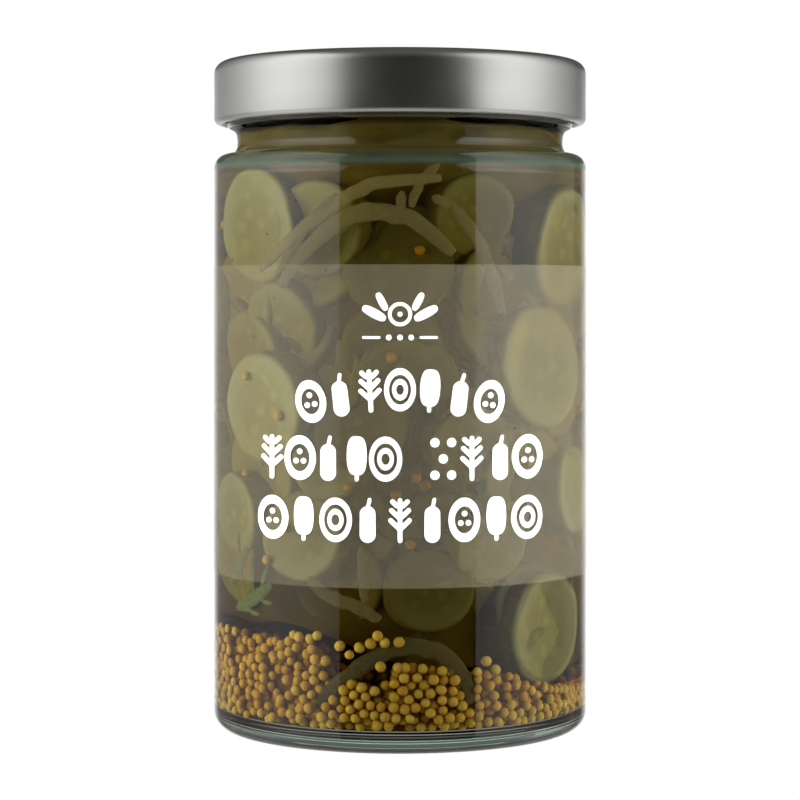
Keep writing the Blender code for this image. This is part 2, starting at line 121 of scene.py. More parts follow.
# Slices just behind the front ones, so that few gaps show at the sides
BEHIND_SLICES = (
    (-31.0, 114.0, 11.0, 8.0, 6.0, 1.8, 1.0),
    (-76.0, 99.0, 13.0, 9.0, 5.0, 3.6, 0.95),
    (-34.0, 107.0, 12.0, 8.0, -10.0, 4.6, 0.85),
    (-70.0, 86.0, 11.0, 8.0, 12.0, 4.2, 0.95),
    (-33.0, 80.0, 11.0, 8.0, -8.0, 5.2, 0.85),
    (-63.0, 60.0, 11.5, 8.0, 6.0, 4.0, 1.05),
    (-20.0, 46.0, 10.0, 8.0, 8.0, 5.4, 0.75),
    (44.0, 101.0, 12.5, 8.0, 6.0, 4.8, 0.8),
    (40.0, 75.0, 11.5, 8.0, -9.0, 5.2, 0.85),
    (55.0, 60.0, 12.0, 8.0, 7.0, 4.6, 0.95),
    (80.0, 78.0, 12.0, 8.0, 4.0, 4.0, 0.85),
    (-80.0, 40.0, 11.0, 8.0, 4.0, 3.4, 0.9),
)

# Onion strips, from end to end; their widths against the usual one, and how light they are
ONION_STRIPS = (
    ((-50.0, 104.5), (-35.0, 112.0), (-21.0, 118.4), (-8.0, 123.0), (13.0, 124.4)),
    ((-41.0, 101.0), (-28.0, 110.5), (-13.0, 116.6), (3.0, 115.6), (17.0, 108.0)),
    ((16.0, 118.5), (24.0, 112.0), (30.0, 103.0), (34.0, 95.0)),
    ((-30.0, 37.5), (-23.0, 34.0), (-14.0, 31.8), (-6.0, 29.0)),
    ((-27.0, 10.5), (-16.0, 17.0), (-1.0, 23.0), (12.0, 22.0), (20.0, 16.5), (22.5, 10.5)),
    ((96.0, 121.0), (114.0, 112.0), (128.0, 99.0), (134.0, 86.0)),
    ((150.0, 66.0), (165.0, 75.0), (182.0, 77.0), (198.0, 69.0)),
    ((212.0, 123.0), (228.0, 114.0), (241.0, 101.0), (247.0, 88.0)),
    ((105.0, 45.0), (121.0, 36.0), (139.0, 35.0), (152.0, 42.0)),
)
STRIP_LOOKS = (
    (1.2, 0.62), (1.5, 0.52), (1.2, 0.5), (1.15, 0.42), (1.45, 0.3), (1.1, 0.9), (1.1, 0.9),
    (1.1, 0.9), (1.1, 0.9),
)
# Short bits of onion among them
ONION_BITS = (
    ((12.3, 127.5), (6.4, 123.5), (3.4, 118.0)),
    ((0.6, 121.5), (0.0, 117.5), (-0.5, 114.5)),
    ((10.0, 120.3), (14.5, 118.8), (20.0, 116.8)),
    ((-12.0, 45.0), (-11.6, 38.5), (-11.0, 32.5)),
    ((-20.0, 121.0), (-27.0, 116.5), (-35.0, 109.5), (-41.0, 104.5)),
)
# Leaflets of the dill: the same kind of line, thinner
DILL_LEAFLETS = (
    ((-60.0, 30.0), (-62.5, 32.5), (-66.0, 34.5)), ((-56.5, 31.0), (-58.5, 34.5), (-60.0, 38.0)),
    ((-53.0, 32.0), (-53.5, 35.5), (-53.0, 39.0)), ((-57.0, 30.0), (-53.5, 28.8), (-50.0, 28.6)),
    ((-50.5, 32.8), (-47.5, 31.5), (-44.0, 31.4)), ((-49.0, 33.6), (-48.0, 36.8), (-46.0, 39.6)),
    ((-64.0, 37.0), (-67.0, 38.5), (-70.0, 41.5)), ((-60.0, 40.0), (-61.5, 43.0), (-61.5, 46.0)),
)
# Dark flecks of herb against the glass
FLECKS = (
    (-45.0, 112.5), (-33.5, 119.5), (-42.0, 98.5), (-64.0, 107.0), (-23.0, 104.5), (-51.0, 90.0),
    (33.0, 108.0), (58.0, 104.5), (49.0, 92.5), (-47.0, 62.0), (22.0, 52.0), (37.5, 70.0),
    (-12.0, 64.5), (66.0, 63.5), (18.5, 126.0), (-8.5, 112.8),
)
DILL_LEAVES = (
    ((-63.0, 29.0), (-54.0, 31.5), (-44.0, 35.5)),
    ((-67.0, 34.5), (-62.0, 38.0), (-56.0, 43.0)),
)
LOOSE_SEEDS = (
    (7.3, 108.8), (-44.0, 102.0), (-3.1, 85.5), (-62.0, 81.0), (-45.0, 72.5), (-51.0, 66.5),
    (-67.0, 59.0), (-18.0, 57.2), (-1.6, 55.4), (6.2, 59.2), (9.7, 57.5), (-56.0, 46.0),
    (-44.0, 47.6), (-50.0, 40.5), (3.8, 44.8),
)
# Mustard seeds that lie on the arched strip and in the hollow under it, against the glass
ARCH_SEEDS = (
    (-18.9, 23.2), (-15.8, 21.4), (-12.6, 23.0), (-9.1, 23.9), (-6.9, 25.6), (-4.7, 24.1),
    (-0.3, 24.3), (-6.0, 19.0), (-0.6, 18.8), (27.7, 19.6), (-35.0, 25.0), (-33.0, 24.6),
    (-29.0, 24.4), (-26.5, 25.2), (24.6, 17.4), (31.0, 17.6),
)


def linear(hex_colour):
    """A colour's sRGB hex value as linear numbers."""
    values = [int(hex_colour[i : i + 2], 16) / 255.0 for i in (1, 3, 5)]
    return tuple(v / 12.92 if v <= 0.04045 else ((v + 0.055) / 1.055) ** 2.4 for v in values)


class PickleJarSizes(bpy.types.PropertyGroup):
    """Sizes of the jar's contents and print that a user may change."""

    seed_radius: bpy.props.FloatProperty(
        name="Mustard seed radius",
        description="Radius of one swollen mustard seed",
        default=1.17 * MM,
        min=0.5 * MM,
        max=2.0 * MM,
        unit="LENGTH",
        subtype="DISTANCE",
    )
    strip_width: bpy.props.FloatProperty(
        name="Onion strip width",
        description="Width of an onion strip at its middle",
        default=2.7 * MM,
        min=1.0 * MM,
        max=6.0 * MM,
        unit="LENGTH",
        subtype="DISTANCE",
    )
    skin: bpy.props.FloatProperty(
        name="Slice edge rounding",
        description="Rounding of a cucumber slice's cut edge",
        default=0.9 * MM,
        min=0.2 * MM,
        max=2.0 * MM,
        unit="LENGTH",
        subtype="DISTANCE",
    )
    print_stroke: bpy.props.FloatProperty(
        name="Print stroke",
        description="Width of the strokes of the white shapes on the label",
        default=1.5 * MM,
        min=0.5 * MM,
        max=3.0 * MM,
        unit="LENGTH",
        subtype="DISTANCE",
    )


class PickleJarColours(bpy.types.PropertyGroup):
    """Colours of the jar's pieces that a user may change."""

    lid: bpy.props.FloatVectorProperty(
        name="Lid",
        description="Satin lacquer over tinplate",
        subtype="COLOR",
        size=3,
        min=0.0,
        max=1.0,
        default=linear("#b6b6b3"),
    )
    label: bpy.props.FloatVectorProperty(
        name="Label film",
        description="Haze of the clear film label",
        subtype="COLOR",
        size=3,
        min=0.0,
        max=1.0,
        default=linear("#a59e88"),
    )
    ink: bpy.props.FloatVectorProperty(
        name="Print",
        description="White ink on the label",
        subtype="COLOR",
        size=3,
        min=0.0,
        max=1.0,
        default=linear("#fdfdf8"),
    )
    flesh: bpy.props.FloatVectorProperty(
        name="Cucumber flesh",
        description="Pickled flesh of a cucumber slice",
        subtype="COLOR",
        size=3,
        min=0.0,
        max=1.0,
        default=linear("#99a098"),
    )
    skin: bpy.props.FloatVectorProperty(
        name="Cucumber skin",
        description="Pickled skin of a cucumber slice",
        subtype="COLOR",
        size=3,
        min=0.0,
        max=1.0,
        default=linear("#66683f"),
    )
    seed: bpy.props.FloatVectorProperty(
        name="Mustard seed",
        description="Yellow mustard seed, wet",
        subtype="COLOR",
        size=3,
        min=0.0,
        max=1.0,
        default=linear("#c4a03b"),
    )
    onion: bpy.props.FloatVectorProperty(
        name="Onion",
        description="Pickled onion, stained by the brine",
        subtype="COLOR",
        size=3,
        min=0.0,
        max=1.0,
        default=linear("#8d8257"),
    )
    dill: bpy.props.FloatVectorProperty(
        name="Dill",
        description="Wet dill leaf",
        subtype="COLOR",
        size=3,
        min=0.0,
        max=1.0,
        default=linear("#5c6540"),
    )


def sizes():
    return bpy.context.scene.pickle_jar_sizes


def colours():
    return bpy.context.scene.pickle_jar_colours


# Materials


def new_material(name):
    """An empty node material and its output node."""
    made = bpy.data.materials.new(name)
    made.use_nodes = True
    made.node_tree.nodes.clear()
    return made, made.node_tree.nodes.new("ShaderNodeOutputMaterial")


def add(tree, kind, settings, inputs):
    """Adds a node with its settings. An input that is a socket is linked, any other is a value."""
    made = tree.nodes.new(kind)
    for key, value in settings.items():
        setattr(made, key, value)
    for key, value in inputs.items():
        if isinstance(value, bpy.types.NodeSocket):
            tree.links.new(value, made.inputs[key])
        elif key in ("Base Color", "Color", "A_Color") and len(value) == 3:
            made.inputs[key].default_value = (*value, 1.0)
        else:
            made.inputs[key].default_value = value
    return made


def mixed(tree, factor, first, second):
    """The colour between two colours or sockets."""
    values = {0: factor}
    for key, value in ((6, first), (7, second)):
        values[key] = value if isinstance(value, bpy.types.NodeSocket) else (*value, 1.0)
    return add(tree, "ShaderNodeMix", {"data_type": "RGBA"}, values).outputs[2]


def let_lamps_through(tree, shader):
    """The shader, except that rays from lamps pass it, so that they light what is behind it."""
    path = add(tree, "ShaderNodeLightPath", {}, {})
    clear = add(tree, "ShaderNodeBsdfTransparent", {}, {})
    return add(
        tree,
        "ShaderNodeMixShader",
        {},
        {0: path.outputs["Is Shadow Ray"], 1: shader.outputs[0], 2: clear.outputs[0]},
    )


def clear_glass():
    """Soda-lime glass, blown and fire-polished: no colour by itself, a faint teal in its depth.

    Where brine touches the straight wall, light bends but hardly any is mirrored, so there the
    mirror is left out. On the neck under the lid most of the mirror is left out too, which paints
    shade there. In the thick base and the shoulder, light runs along inside the glass; at the
    shoulder it is shown by a painted teal line.
    """
    made, out = new_material("soda_lime_glass_blown")
    tree = made.node_tree
    dry = add(
        tree,
        "ShaderNodeBsdfPrincipled",
        {},
        {
            "Base Color": (1.0, 1.0, 1.0),
            "Roughness": 0.0,
            "IOR": 1.52,
            "Transmission Weight": 1.0,
        },
    )
    wet = add(tree, "ShaderNodeBsdfRefraction", {}, {"Roughness": 0.0, "IOR": 1.52})
    # The wet attribute also paints shade on the neck, where it leaves out most of the mirror.
    wet_and_neck_shade = add(tree, "ShaderNodeAttribute", {"attribute_name": "wet"}, {})
    # A soft teal line is painted round the shoulder: painted light, standing in for the light
    # that runs inside the wall and gathers at its round.
    place = add(tree, "ShaderNodeTexCoord", {}, {})
    axes = add(tree, "ShaderNodeSeparateXYZ", {}, {0: place.outputs["Object"]})
    above = add(
        tree,
        "ShaderNodeMath",
        {"operation": "SUBTRACT"},
        {0: axes.outputs["Z"], 1: (SHOULDER - 2.9) * MM},
    )
    away = add(tree, "ShaderNodeMath", {"operation": "ABSOLUTE"}, {0: above.outputs[0]})
    line = add(
        tree,
        "ShaderNodeMapRange",
        {"interpolation_type": "SMOOTHSTEP"},
        {"Value": away.outputs[0], 1: 0.3 * MM, 2: 1.2 * MM, 3: 0.26, 4: 0.0},
    )
    painted_shoulder_glow = add(tree, "ShaderNodeBsdfDiffuse", {}, {"Color": linear("#42645c")})
    glass_with_painted_glow = add(
        tree,
        "ShaderNodeMixShader",
        {},
        {0: line.outputs[0], 1: dry.outputs[0], 2: painted_shoulder_glow.outputs[0]},
    )
    glass = add(
        tree,
        "ShaderNodeMixShader",
        {},
        {0: wet_and_neck_shade.outputs["Fac"], 1: glass_with_painted_glow.outputs[0], 2: wet.outputs[0]},
    )
    depth = add(
        tree, "ShaderNodeVolumeAbsorption", {}, {"Color": linear("#b4d6ca"), "Density": 16.0}
    )
    tree.links.new(let_lamps_through(tree, glass).outputs[0], out.inputs["Surface"])
    tree.links.new(depth.outputs[0], out.inputs["Volume"])
    return made


def pickling_brine():
    """Sweet vinegar brine stained by the spices: clear, olive-brown where it is deep."""
    made, out = new_material("vinegar_brine")
    tree = made.node_tree
    brine = add(tree, "ShaderNodeBsdfRefraction", {}, {"Roughness": 0.0, "IOR": 1.34})
    depth = add(
        tree, "ShaderNodeVolumeAbsorption", {}, {"Color": linear("#e2d138"), "Density": 125.0}
    )
    tree.links.new(let_lamps_through(tree, brine).outputs[0], out.inputs["Surface"])
    tree.links.new(depth.outputs[0], out.inputs["Volume"])
    return made


def satin_tinplate():
    """Tinplate pressed to a cap under satin silver lacquer: a soft mirror with a faint grain."""
    made, out = new_material("tinplate_satin_lacquer")
    tree = made.node_tree
    place = add(tree, "ShaderNodeTexCoord", {}, {})
    # The rolled grain is about 0.05 mm wide, too fine to show, so it is drawn 0.4 mm wide.
    grain = add(
        tree,
        "ShaderNodeTexNoise",
        {},
        {"Vector": place.outputs["Object"], "Scale": 2500.0, "Detail": 3.0},
    )
    cloud = add(
        tree,
        "ShaderNodeTexNoise",
        {},
        {"Vector": place.outputs["Object"], "Scale": 60.0, "Detail": 2.0},
    )
    rough = add(
        tree,
        "ShaderNodeMapRange",
        {},
        {"Value": cloud.outputs[0], 1: 0.3, 2: 0.7, 3: 0.3, 4: 0.35},
    )
    bump = add(
        tree,
        "ShaderNodeBump",
        {},
        {"Strength": 0.12, "Distance": 0.05 * MM, "Height": grain.outputs[0]},
    )
    metal = add(
        tree,
        "ShaderNodeBsdfPrincipled",
        {},
        {
            "Base Color": tuple(colours().lid),
            "Metallic": 1.0,
            "Roughness": rough.outputs[0],
            "Normal": bump.outputs[0],
        },
    )
    tree.links.new(metal.outputs[0], out.inputs["Surface"])
    return made


def lid_lacquer():
    """The cream food lacquer inside the lid, sprayed and baked: even and half matt."""
    made, out = new_material("tinplate_cream_lacquer")
    tree = made.node_tree
    place = add(tree, "ShaderNodeTexCoord", {}, {})
    peel = add(
        tree,
        "ShaderNodeTexNoise",
        {},
        {"Vector": place.outputs["Object"], "Scale": 900.0, "Detail": 2.0},
    )
    colour = mixed(tree, peel.outputs[0], linear("#cfc6a8"), linear("#ddd6bf"))
    lacquer = add(
        tree, "ShaderNodeBsdfPrincipled", {}, {"Base Color": colour, "Roughness": 0.4}
    )
    tree.links.new(lacquer.outputs[0], out.inputs["Surface"])
    return made


def label_film():
    """Clear polypropylene film with a light warm haze printed over it."""
    made, out = new_material("polypropylene_film_hazy")
    tree = made.node_tree
    film = add(
        tree,
        "ShaderNodeBsdfPrincipled",
        {},
        {
            "Base Color": tuple(colours().label),
            "Roughness": 0.3,
            "IOR": 1.3,
            "Specular IOR Level": 0.2,
            "Alpha": 0.07,
        },
    )
    tree.links.new(film.outputs[0], out.inputs["Surface"])
    return made


def white_ink():
    """Opaque white ink, screen printed: flat, even and bright."""
    made, out = new_material("screen_ink_white")
    tree = made.node_tree
    place = add(tree, "ShaderNodeTexCoord", {}, {})
    # The ink's uneven film is about 0.5 mm across.
    mottle = add(
        tree,
        "ShaderNodeTexNoise",
        {},
        {"Vector": place.outputs["Object"], "Scale": 2000.0, "Detail": 2.0},
    )
    rough = add(
        tree,
        "ShaderNodeMapRange",
        {},
        {"Value": mottle.outputs[0], 3: 0.45, 4: 0.6},
    )
    ink = add(
        tree,
        "ShaderNodeBsdfPrincipled",
        {},
        {
            "Base Color": tuple(colours().ink),
            "Roughness": rough.outputs[0],
            "Specular IOR Level": 0.2,
        },
    )
    tree.links.new(ink.outputs[0], out.inputs["Surface"])
    return made


def pickled_cucumber():
    """Cut pickled cucumber: half clear olive flesh, a paler seeded middle and a thin dark skin."""
    made, out = new_material("cucumber_pickled")
    tree = made.node_tree
    face = add(tree, "ShaderNodeUVMap", {"uv_map": "slice"}, {})
    place = add(tree, "ShaderNodeTexCoord", {}, {})
    middle = add(
        tree,
        "ShaderNodeVectorMath",
        {"operation": "SUBTRACT"},
        {0: face.outputs[0], 1: (0.5, 0.5, 0.0)},
    )
    # Flesh mottle about 4 mm across, fibres about 0.8 mm.
    mottle = add(
        tree,
        "ShaderNodeTexNoise",
        {},
        {"Vector": place.outputs["Object"], "Scale": 240.0, "Detail": 5.0, "Roughness": 0.6},
    )
    wander = add(
        tree,
        "ShaderNodeMapRange",
        {},
        {"Value": mottle.outputs[0], 1: 0.25, 2: 0.75, 3: -0.05, 4: 0.05},
    )
    reach = add(
        tree, "ShaderNodeVectorMath", {"operation": "LENGTH"}, {0: middle.outputs[0]}
    )
    ring = add(
        tree,
        "ShaderNodeMath",
        {"operation": "MULTIPLY_ADD"},
        {0: reach.outputs["Value"], 1: 2.0, 2: wander.outputs[0]},
    )
    # Seeds about 4 mm long lie in the middle two thirds of the slice.
    pips = add(
        tree,
        "ShaderNodeTexVoronoi",
        {"feature": "SMOOTH_F1"},
        {"Vector": face.outputs[0], "Scale": 7.0, "Smoothness": 0.4},
    )
    pip = add(
        tree,
        "ShaderNodeMapRange",
        {"interpolation_type": "SMOOTHSTEP"},
        {"Value": pips.outputs["Distance"], 1: 0.2, 2: 0.5, 3: 1.0, 4: 0.0},
    )
    seeded = add(
        tree,
        "ShaderNodeMapRange",
        {"interpolation_type": "SMOOTHSTEP"},
        {"Value": ring.outputs[0], 1: 0.5, 2: 0.72, 3: 1.0, 4: 0.0},
    )
    skinned = add(
        tree,
        "ShaderNodeMapRange",
        {"interpolation_type": "SMOOTHSTEP"},
        {"Value": ring.outputs[0], 1: 0.88, 2: 1.06, 3: 0.0, 4: 1.0},
    )
    flesh, skin = Vector(colours().flesh), Vector(colours().skin)
    cloudy = mixed(tree, mottle.outputs[0], flesh * 0.78, flesh * 1.16)
    gel = mixed(tree, pip.outputs[0], flesh * 0.82, flesh * 1.12)
    inner = add(
        tree, "ShaderNodeMath", {"operation": "MULTIPLY"}, {0: seeded.outputs[0], 1: 0.6}
    )
    cut = mixed(tree, inner.outputs[0], cloudy, gel)
    stripes = add(
        tree,
        "ShaderNodeTexNoise",
        {},
        {"Vector": place.outputs["Object"], "Scale": 420.0, "Detail": 3.0},
    )
    rind = mixed(tree, stripes.outputs[0], skin * 0.7, skin * 1.7)
    whole = mixed(tree, skinned.outputs[0], cut, rind)
    # Each slice took up the brine by itself, so some are lighter than others. The tone also paints
    # shade: the slices that lie deeper at the front middle are given darker flesh.
    tone = add(tree, "ShaderNodeAttribute", {"attribute_name": "tone"}, {})
    colour = add(
        tree,
        "ShaderNodeVectorMath",
        {"operation": "SCALE"},
        {0: whole, "Scale": tone.outputs["Fac"]},
    ).outputs[0]
    bump = add(
        tree,
        "ShaderNodeBump",
        {},
        {"Strength": 0.5, "Distance": 0.4 * MM, "Height": mottle.outputs[0]},
    )
    surface = add(
        tree,
        "ShaderNodeBsdfPrincipled",
        {},
        {
            "Base Color": colour,
            "Roughness": 0.45,
            "IOR": 1.4,
            "Specular IOR Level": 0.12,
            "Normal": bump.outputs[0],
        },
    )
    tree.links.new(surface.outputs[0], out.inputs["Surface"])
    return made


def deep_pickles():
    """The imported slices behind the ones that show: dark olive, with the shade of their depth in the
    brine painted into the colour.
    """
    made, out = new_material("cucumber_in_depth")
    tree = made.node_tree
    place = add(tree, "ShaderNodeTexCoord", {}, {})
    patches = add(
        tree,
        "ShaderNodeTexNoise",
        {},
        {"Vector": place.outputs["Object"], "Scale": 90.0, "Detail": 3.0},
    )
    colour = mixed(tree, patches.outputs[0], linear("#443f22"), linear("#7c7750"))
    surface = add(
        tree,
        "ShaderNodeBsdfPrincipled",
        {},
        {"Base Color": colour, "Roughness": 0.6, "Specular IOR Level": 0.1},
    )
    tree.links.new(surface.outputs[0], out.inputs["Surface"])
    return made


def mustard_seed():
    """Yellow mustard seed, swollen in brine: smooth, ochre, each a little lighter or darker."""
    made, out = new_material("mustard_seed_wet")
    tree = made.node_tree
    tone = add(tree, "ShaderNodeAttribute", {"attribute_name": "tone"}, {})
    place = add(tree, "ShaderNodeTexCoord", {}, {})
    # The coat's blotches are about 0.7 mm across.
    blotch = add(
        tree,
        "ShaderNodeTexNoise",
        {},
        {"Vector": place.outputs["Object"], "Scale": 1400.0, "Detail": 2.0},
    )
    seed = Vector(colours().seed)
    dark = Vector((seed.x * 0.84, seed.y * 0.6, seed.z * 0.38))
    light = Vector((seed.x * 1.2, seed.y * 1.3, seed.z * 1.7))
    # The tone also carries painted light on the lowest seeds.
    each = mixed(tree, tone.outputs["Fac"], dark, light)
    blotched = mixed(tree, blotch.outputs[0], seed * 0.7, seed * 1.25)
    colour = mixed(tree, 0.35, each, blotched)
    surface = add(
        tree,
        "ShaderNodeBsdfPrincipled",
        {},
        {
            "Base Color": colour,
            "Roughness": 0.35,
            "IOR": 1.45,
            "Specular IOR Level": 0.2,
        },
    )
    tree.links.new(surface.outputs[0], out.inputs["Surface"])
    return made


def seeds_in_depth():
    """What shows between the outer mustard seeds: more seeds in dark brine, with the shade of the gaps
    painted into their colour.
    """
    made, out = new_material("mustard_seed_in_depth")
    tree = made.node_tree
    place = add(tree, "ShaderNodeTexCoord", {}, {})
    cells = add(
        tree,
        "ShaderNodeTexVoronoi",
        {},
        {"Vector": place.outputs["Object"], "Scale": 450.0},
    )
    colour = mixed(tree, cells.outputs["Distance"], linear("#b87a16"), linear("#6e430c"))
    surface = add(
        tree,
        "ShaderNodeBsdfPrincipled",
        {},
        {"Base Color": colour, "Roughness": 0.7, "Specular IOR Level": 0.1},
    )
    tree.links.new(surface.outputs[0], out.inputs["Surface"])
    return made


def pickled_onion():
    """Pickled onion: thin, half clear, with fine veins along it about 0.5 mm apart."""
    made, out = new_material("onion_pickled")
    tree = made.node_tree
    along = add(tree, "ShaderNodeUVMap", {"uv_map": "strip"}, {})
    stretched = add(
        tree,
        "ShaderNodeMapping",
        {},
        {"Vector": along.outputs[0], "Scale": (6.0, 5.0, 1.0)},
    )
    veins = add(
        tree,
        "ShaderNodeTexNoise",
        {},
        {"Vector": stretched.outputs[0], "Scale": 1.6, "Detail": 4.0},
    )
    onion = Vector(colours().onion)
    veined = mixed(tree, veins.outputs[0], onion * 0.75, onion * 1.25)
    tone = add(tree, "ShaderNodeAttribute", {"attribute_name": "tone"}, {})
    colour = add(
        tree,
        "ShaderNodeVectorMath",
        {"operation": "SCALE"},
        {0: veined, "Scale": tone.outputs["Fac"]},
    ).outputs[0]
    bump = add(
        tree,
        "ShaderNodeBump",
        {},
        {"Strength": 0.3, "Distance": 0.1 * MM, "Height": veins.outputs[0]},
    )
    surface = add(
        tree,
        "ShaderNodeBsdfPrincipled",
        {},
        {
            "Base Color": colour,
            "Roughness": 0.4,
            "Specular IOR Level": 0.12,
            "Alpha": 0.6,
            "Normal": bump.outputs[0],
        },
    )
    tree.links.new(surface.outputs[0], out.inputs["Surface"])
    return made


def dill_leaf():
    """Wet dill: soft fine leaf, grey-green with yellower tips."""
    made, out = new_material("dill_wet")
    tree = made.node_tree
    place = add(tree, "ShaderNodeTexCoord", {}, {})
    patches = add(
        tree,
        "ShaderNodeTexNoise",
        {},
        {"Vector": place.outputs["Object"], "Scale": 500.0, "Detail": 3.0},
    )
    dill = Vector(colours().dill)
    colour = mixed(tree, patches.outputs[0], dill * 0.6, dill * 1.35)
    surface = add(
        tree,
        "ShaderNodeBsdfPrincipled",
        {},
        {"Base Color": colour, "Roughness": 0.5, "Specular IOR Level": 0.12, "Alpha": 0.6},
    )
    tree.links.new(surface.outputs[0], out.inputs["Surface"])
    return made


def dark_herb():
    """Flecks of leaf and spice that went dark in the brine."""
    made, out = new_material("herb_fleck_dark")
    tree = made.node_tree
    surface = add(
        tree,
        "ShaderNodeBsdfPrincipled",
        {},
        {"Base Color": linear("#2c2a18"), "Roughness": 0.6, "Specular IOR Level": 0.1},
    )
    tree.links.new(surface.outputs[0], out.inputs["Surface"])
    return made


# Modelling helpers


def deselect():
    """Object mode with nothing selected, because a primitive's operators act on all selected."""
    if bpy.context.mode != "OBJECT":
        bpy.ops.object.mode_set(mode="OBJECT")
    bpy.ops.object.select_all(action="DESELECT")


def hold(thing):
    """Makes this object the only selected and the active one."""
    deselect()
    thing.select_set(True)
    bpy.context.view_layer.objects.active = thing


def edit(mode="VERT"):
    bpy.ops.object.mode_set(mode="EDIT")
    bpy.ops.mesh.select_mode(type=mode)


def done():
    bpy.ops.object.mode_set(mode="OBJECT")


def pick(thing, kind, test):
    """Selects the vertices, edges or faces that pass the test, and leaves edit mode as it was."""
    bpy.ops.mesh.select_all(action="DESELECT")
    bpy.ops.object.mode_set(mode="OBJECT")
    mesh = thing.data
    if kind == "FACE":
        for face in mesh.polygons:
            face.select = test(face)
    elif kind == "EDGE":
        for edge in mesh.edges:
            edge.select = test(*[mesh.vertices[i].co for i in edge.vertices])
    else:
        for vertex in mesh.vertices:
            vertex.select = test(vertex.co)
    bpy.ops.object.mode_set(mode="EDIT")
    bpy.ops.mesh.select_mode(type=kind)


def settle(thing, angle=40.0):
    """Applies the place and shades the piece smooth up to this angle."""
    hold(thing)
    bpy.ops.object.transform_apply(location=True, rotation=True, scale=True)
    bpy.ops.object.shade_smooth_by_angle(angle=math.radians(angle))


def arc(radius, height, size, start, end, steps):
    """Points of a half section on an arc about (radius, height), angles in degrees."""
    angles = [math.radians(start + (end - start) * i / steps) for i in range(steps + 1)]
    return [(radius + size * math.cos(a), height + size * math.sin(a)) for a in angles]


def turned(name, section, segments, ring=False):
    """A turned piece: a point is extruded along the half section, and the line is spun round Z."""
    deselect()
    bpy.ops.mesh.primitive_plane_add(size=1.0 * MM, location=(0.0, 0.0, 0.0))
    piece = bpy.context.active_object
    piece.name = name
    edit()
    bpy.ops.mesh.select_all(action="SELECT")
    bpy.ops.mesh.merge(type="CENTER")
    places = [Vector((radius, 0.0, height)) * MM for radius, height in section]
    if ring:
        places.append(places[0])
    bpy.ops.transform.translate(value=places[0])
    for here, there in zip(places, places[1:]):
        bpy.ops.mesh.extrude_region_move(TRANSFORM_OT_translate={"value": there - here})
    bpy.ops.mesh.select_all(action="SELECT")
    bpy.ops.mesh.spin(steps=segments, angle=math.tau, center=(0, 0, 0), axis=(0, 0, 1))
    bpy.ops.mesh.select_all(action="SELECT")
    bpy.ops.mesh.remove_doubles(threshold=0.002 * MM)
    bpy.ops.mesh.normals_make_consistent(inside=False)
    done()
    return piece


def at(turn, height, radius):
    """The point at this turn round the axis, height and distance from the axis."""
    angle = math.radians(turn)
    return Vector((radius * math.sin(angle), -radius * math.cos(angle), height)) * MM


def smooth_line(points, steps):
    """Places read off a smooth curve through the given ones, steps to each stretch."""
    ends = [points[0]] + list(points) + [points[-1]]
    found = []
    for a, b, c, d in zip(ends, ends[1:], ends[2:], ends[3:]):
        for i in range(steps):
            t = i / steps
            found.append(
                tuple(
                    0.5
                    * (
                        2 * q
                        + (r - p) * t
                        + (2 * p - 5 * q + 4 * r - s) * t**2
                        + (3 * q - p - 3 * r + s) * t**3
                    )
                    for p, q, r, s in zip(a, b, c, d)
                )
            )
    found.append(points[-1])
    return found


def copy_of(master, name):
    """A copy of a piece with its own mesh."""
    made = master.copy()
    made.data = master.data.copy()
    made.name = name
    bpy.context.scene.collection.objects.link(made)
    return made


def join(name, things):
    """Joins the pieces into one."""
    hold(things[0])
    for thing in things:
        thing.select_set(True)
    bpy.ops.object.join()
    made = bpy.context.active_object
    made.name = name
    return made


def remove(thing):
    bpy.data.objects.remove(thing)


def dress(piece, material, nodes=()):
    """Gives a finished piece its material in one slot and its body, and hides the CAD nodes that it stands
    for.
    """
    piece.data.materials.clear()
    piece.data.materials.append(material)
    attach(piece, BODY)
    if nodes:
        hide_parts(*nodes)


# Glass, brine and lid


def inner_wall():
    """Half section of the inside, from the middle of the floor up to the neck."""
    floor = [(0.0, FLOOR_MIDDLE), (12.0, 4.85), (22.0, 4.6), (30.0, 4.2)]
    floor += arc(
        INNER_RADIUS - FLOOR_CORNER, FLOOR_EDGE + FLOOR_CORNER, FLOOR_CORNER, -90, 0, 10
    )
    wall = [(INNER_RADIUS, h) for h in (36.0, 66.0, 96.0)]
    shoulder = arc(INNER_RADIUS - 3.5, SHOULDER - 5.4, 3.5, 0, 62, 7)
    neck = [
        (NECK_INSIDE + 1.35, SHOULDER - 1.1),
        (NECK_INSIDE + 0.75, SHOULDER - 0.1),
        (NECK_INSIDE + 0.3, SHOULDER + 1.0),
        (NECK_INSIDE + 0.05, SHOULDER + 2.2),
        (NECK_INSIDE, 136.0),
    ]
    return floor + wall + shoulder + neck


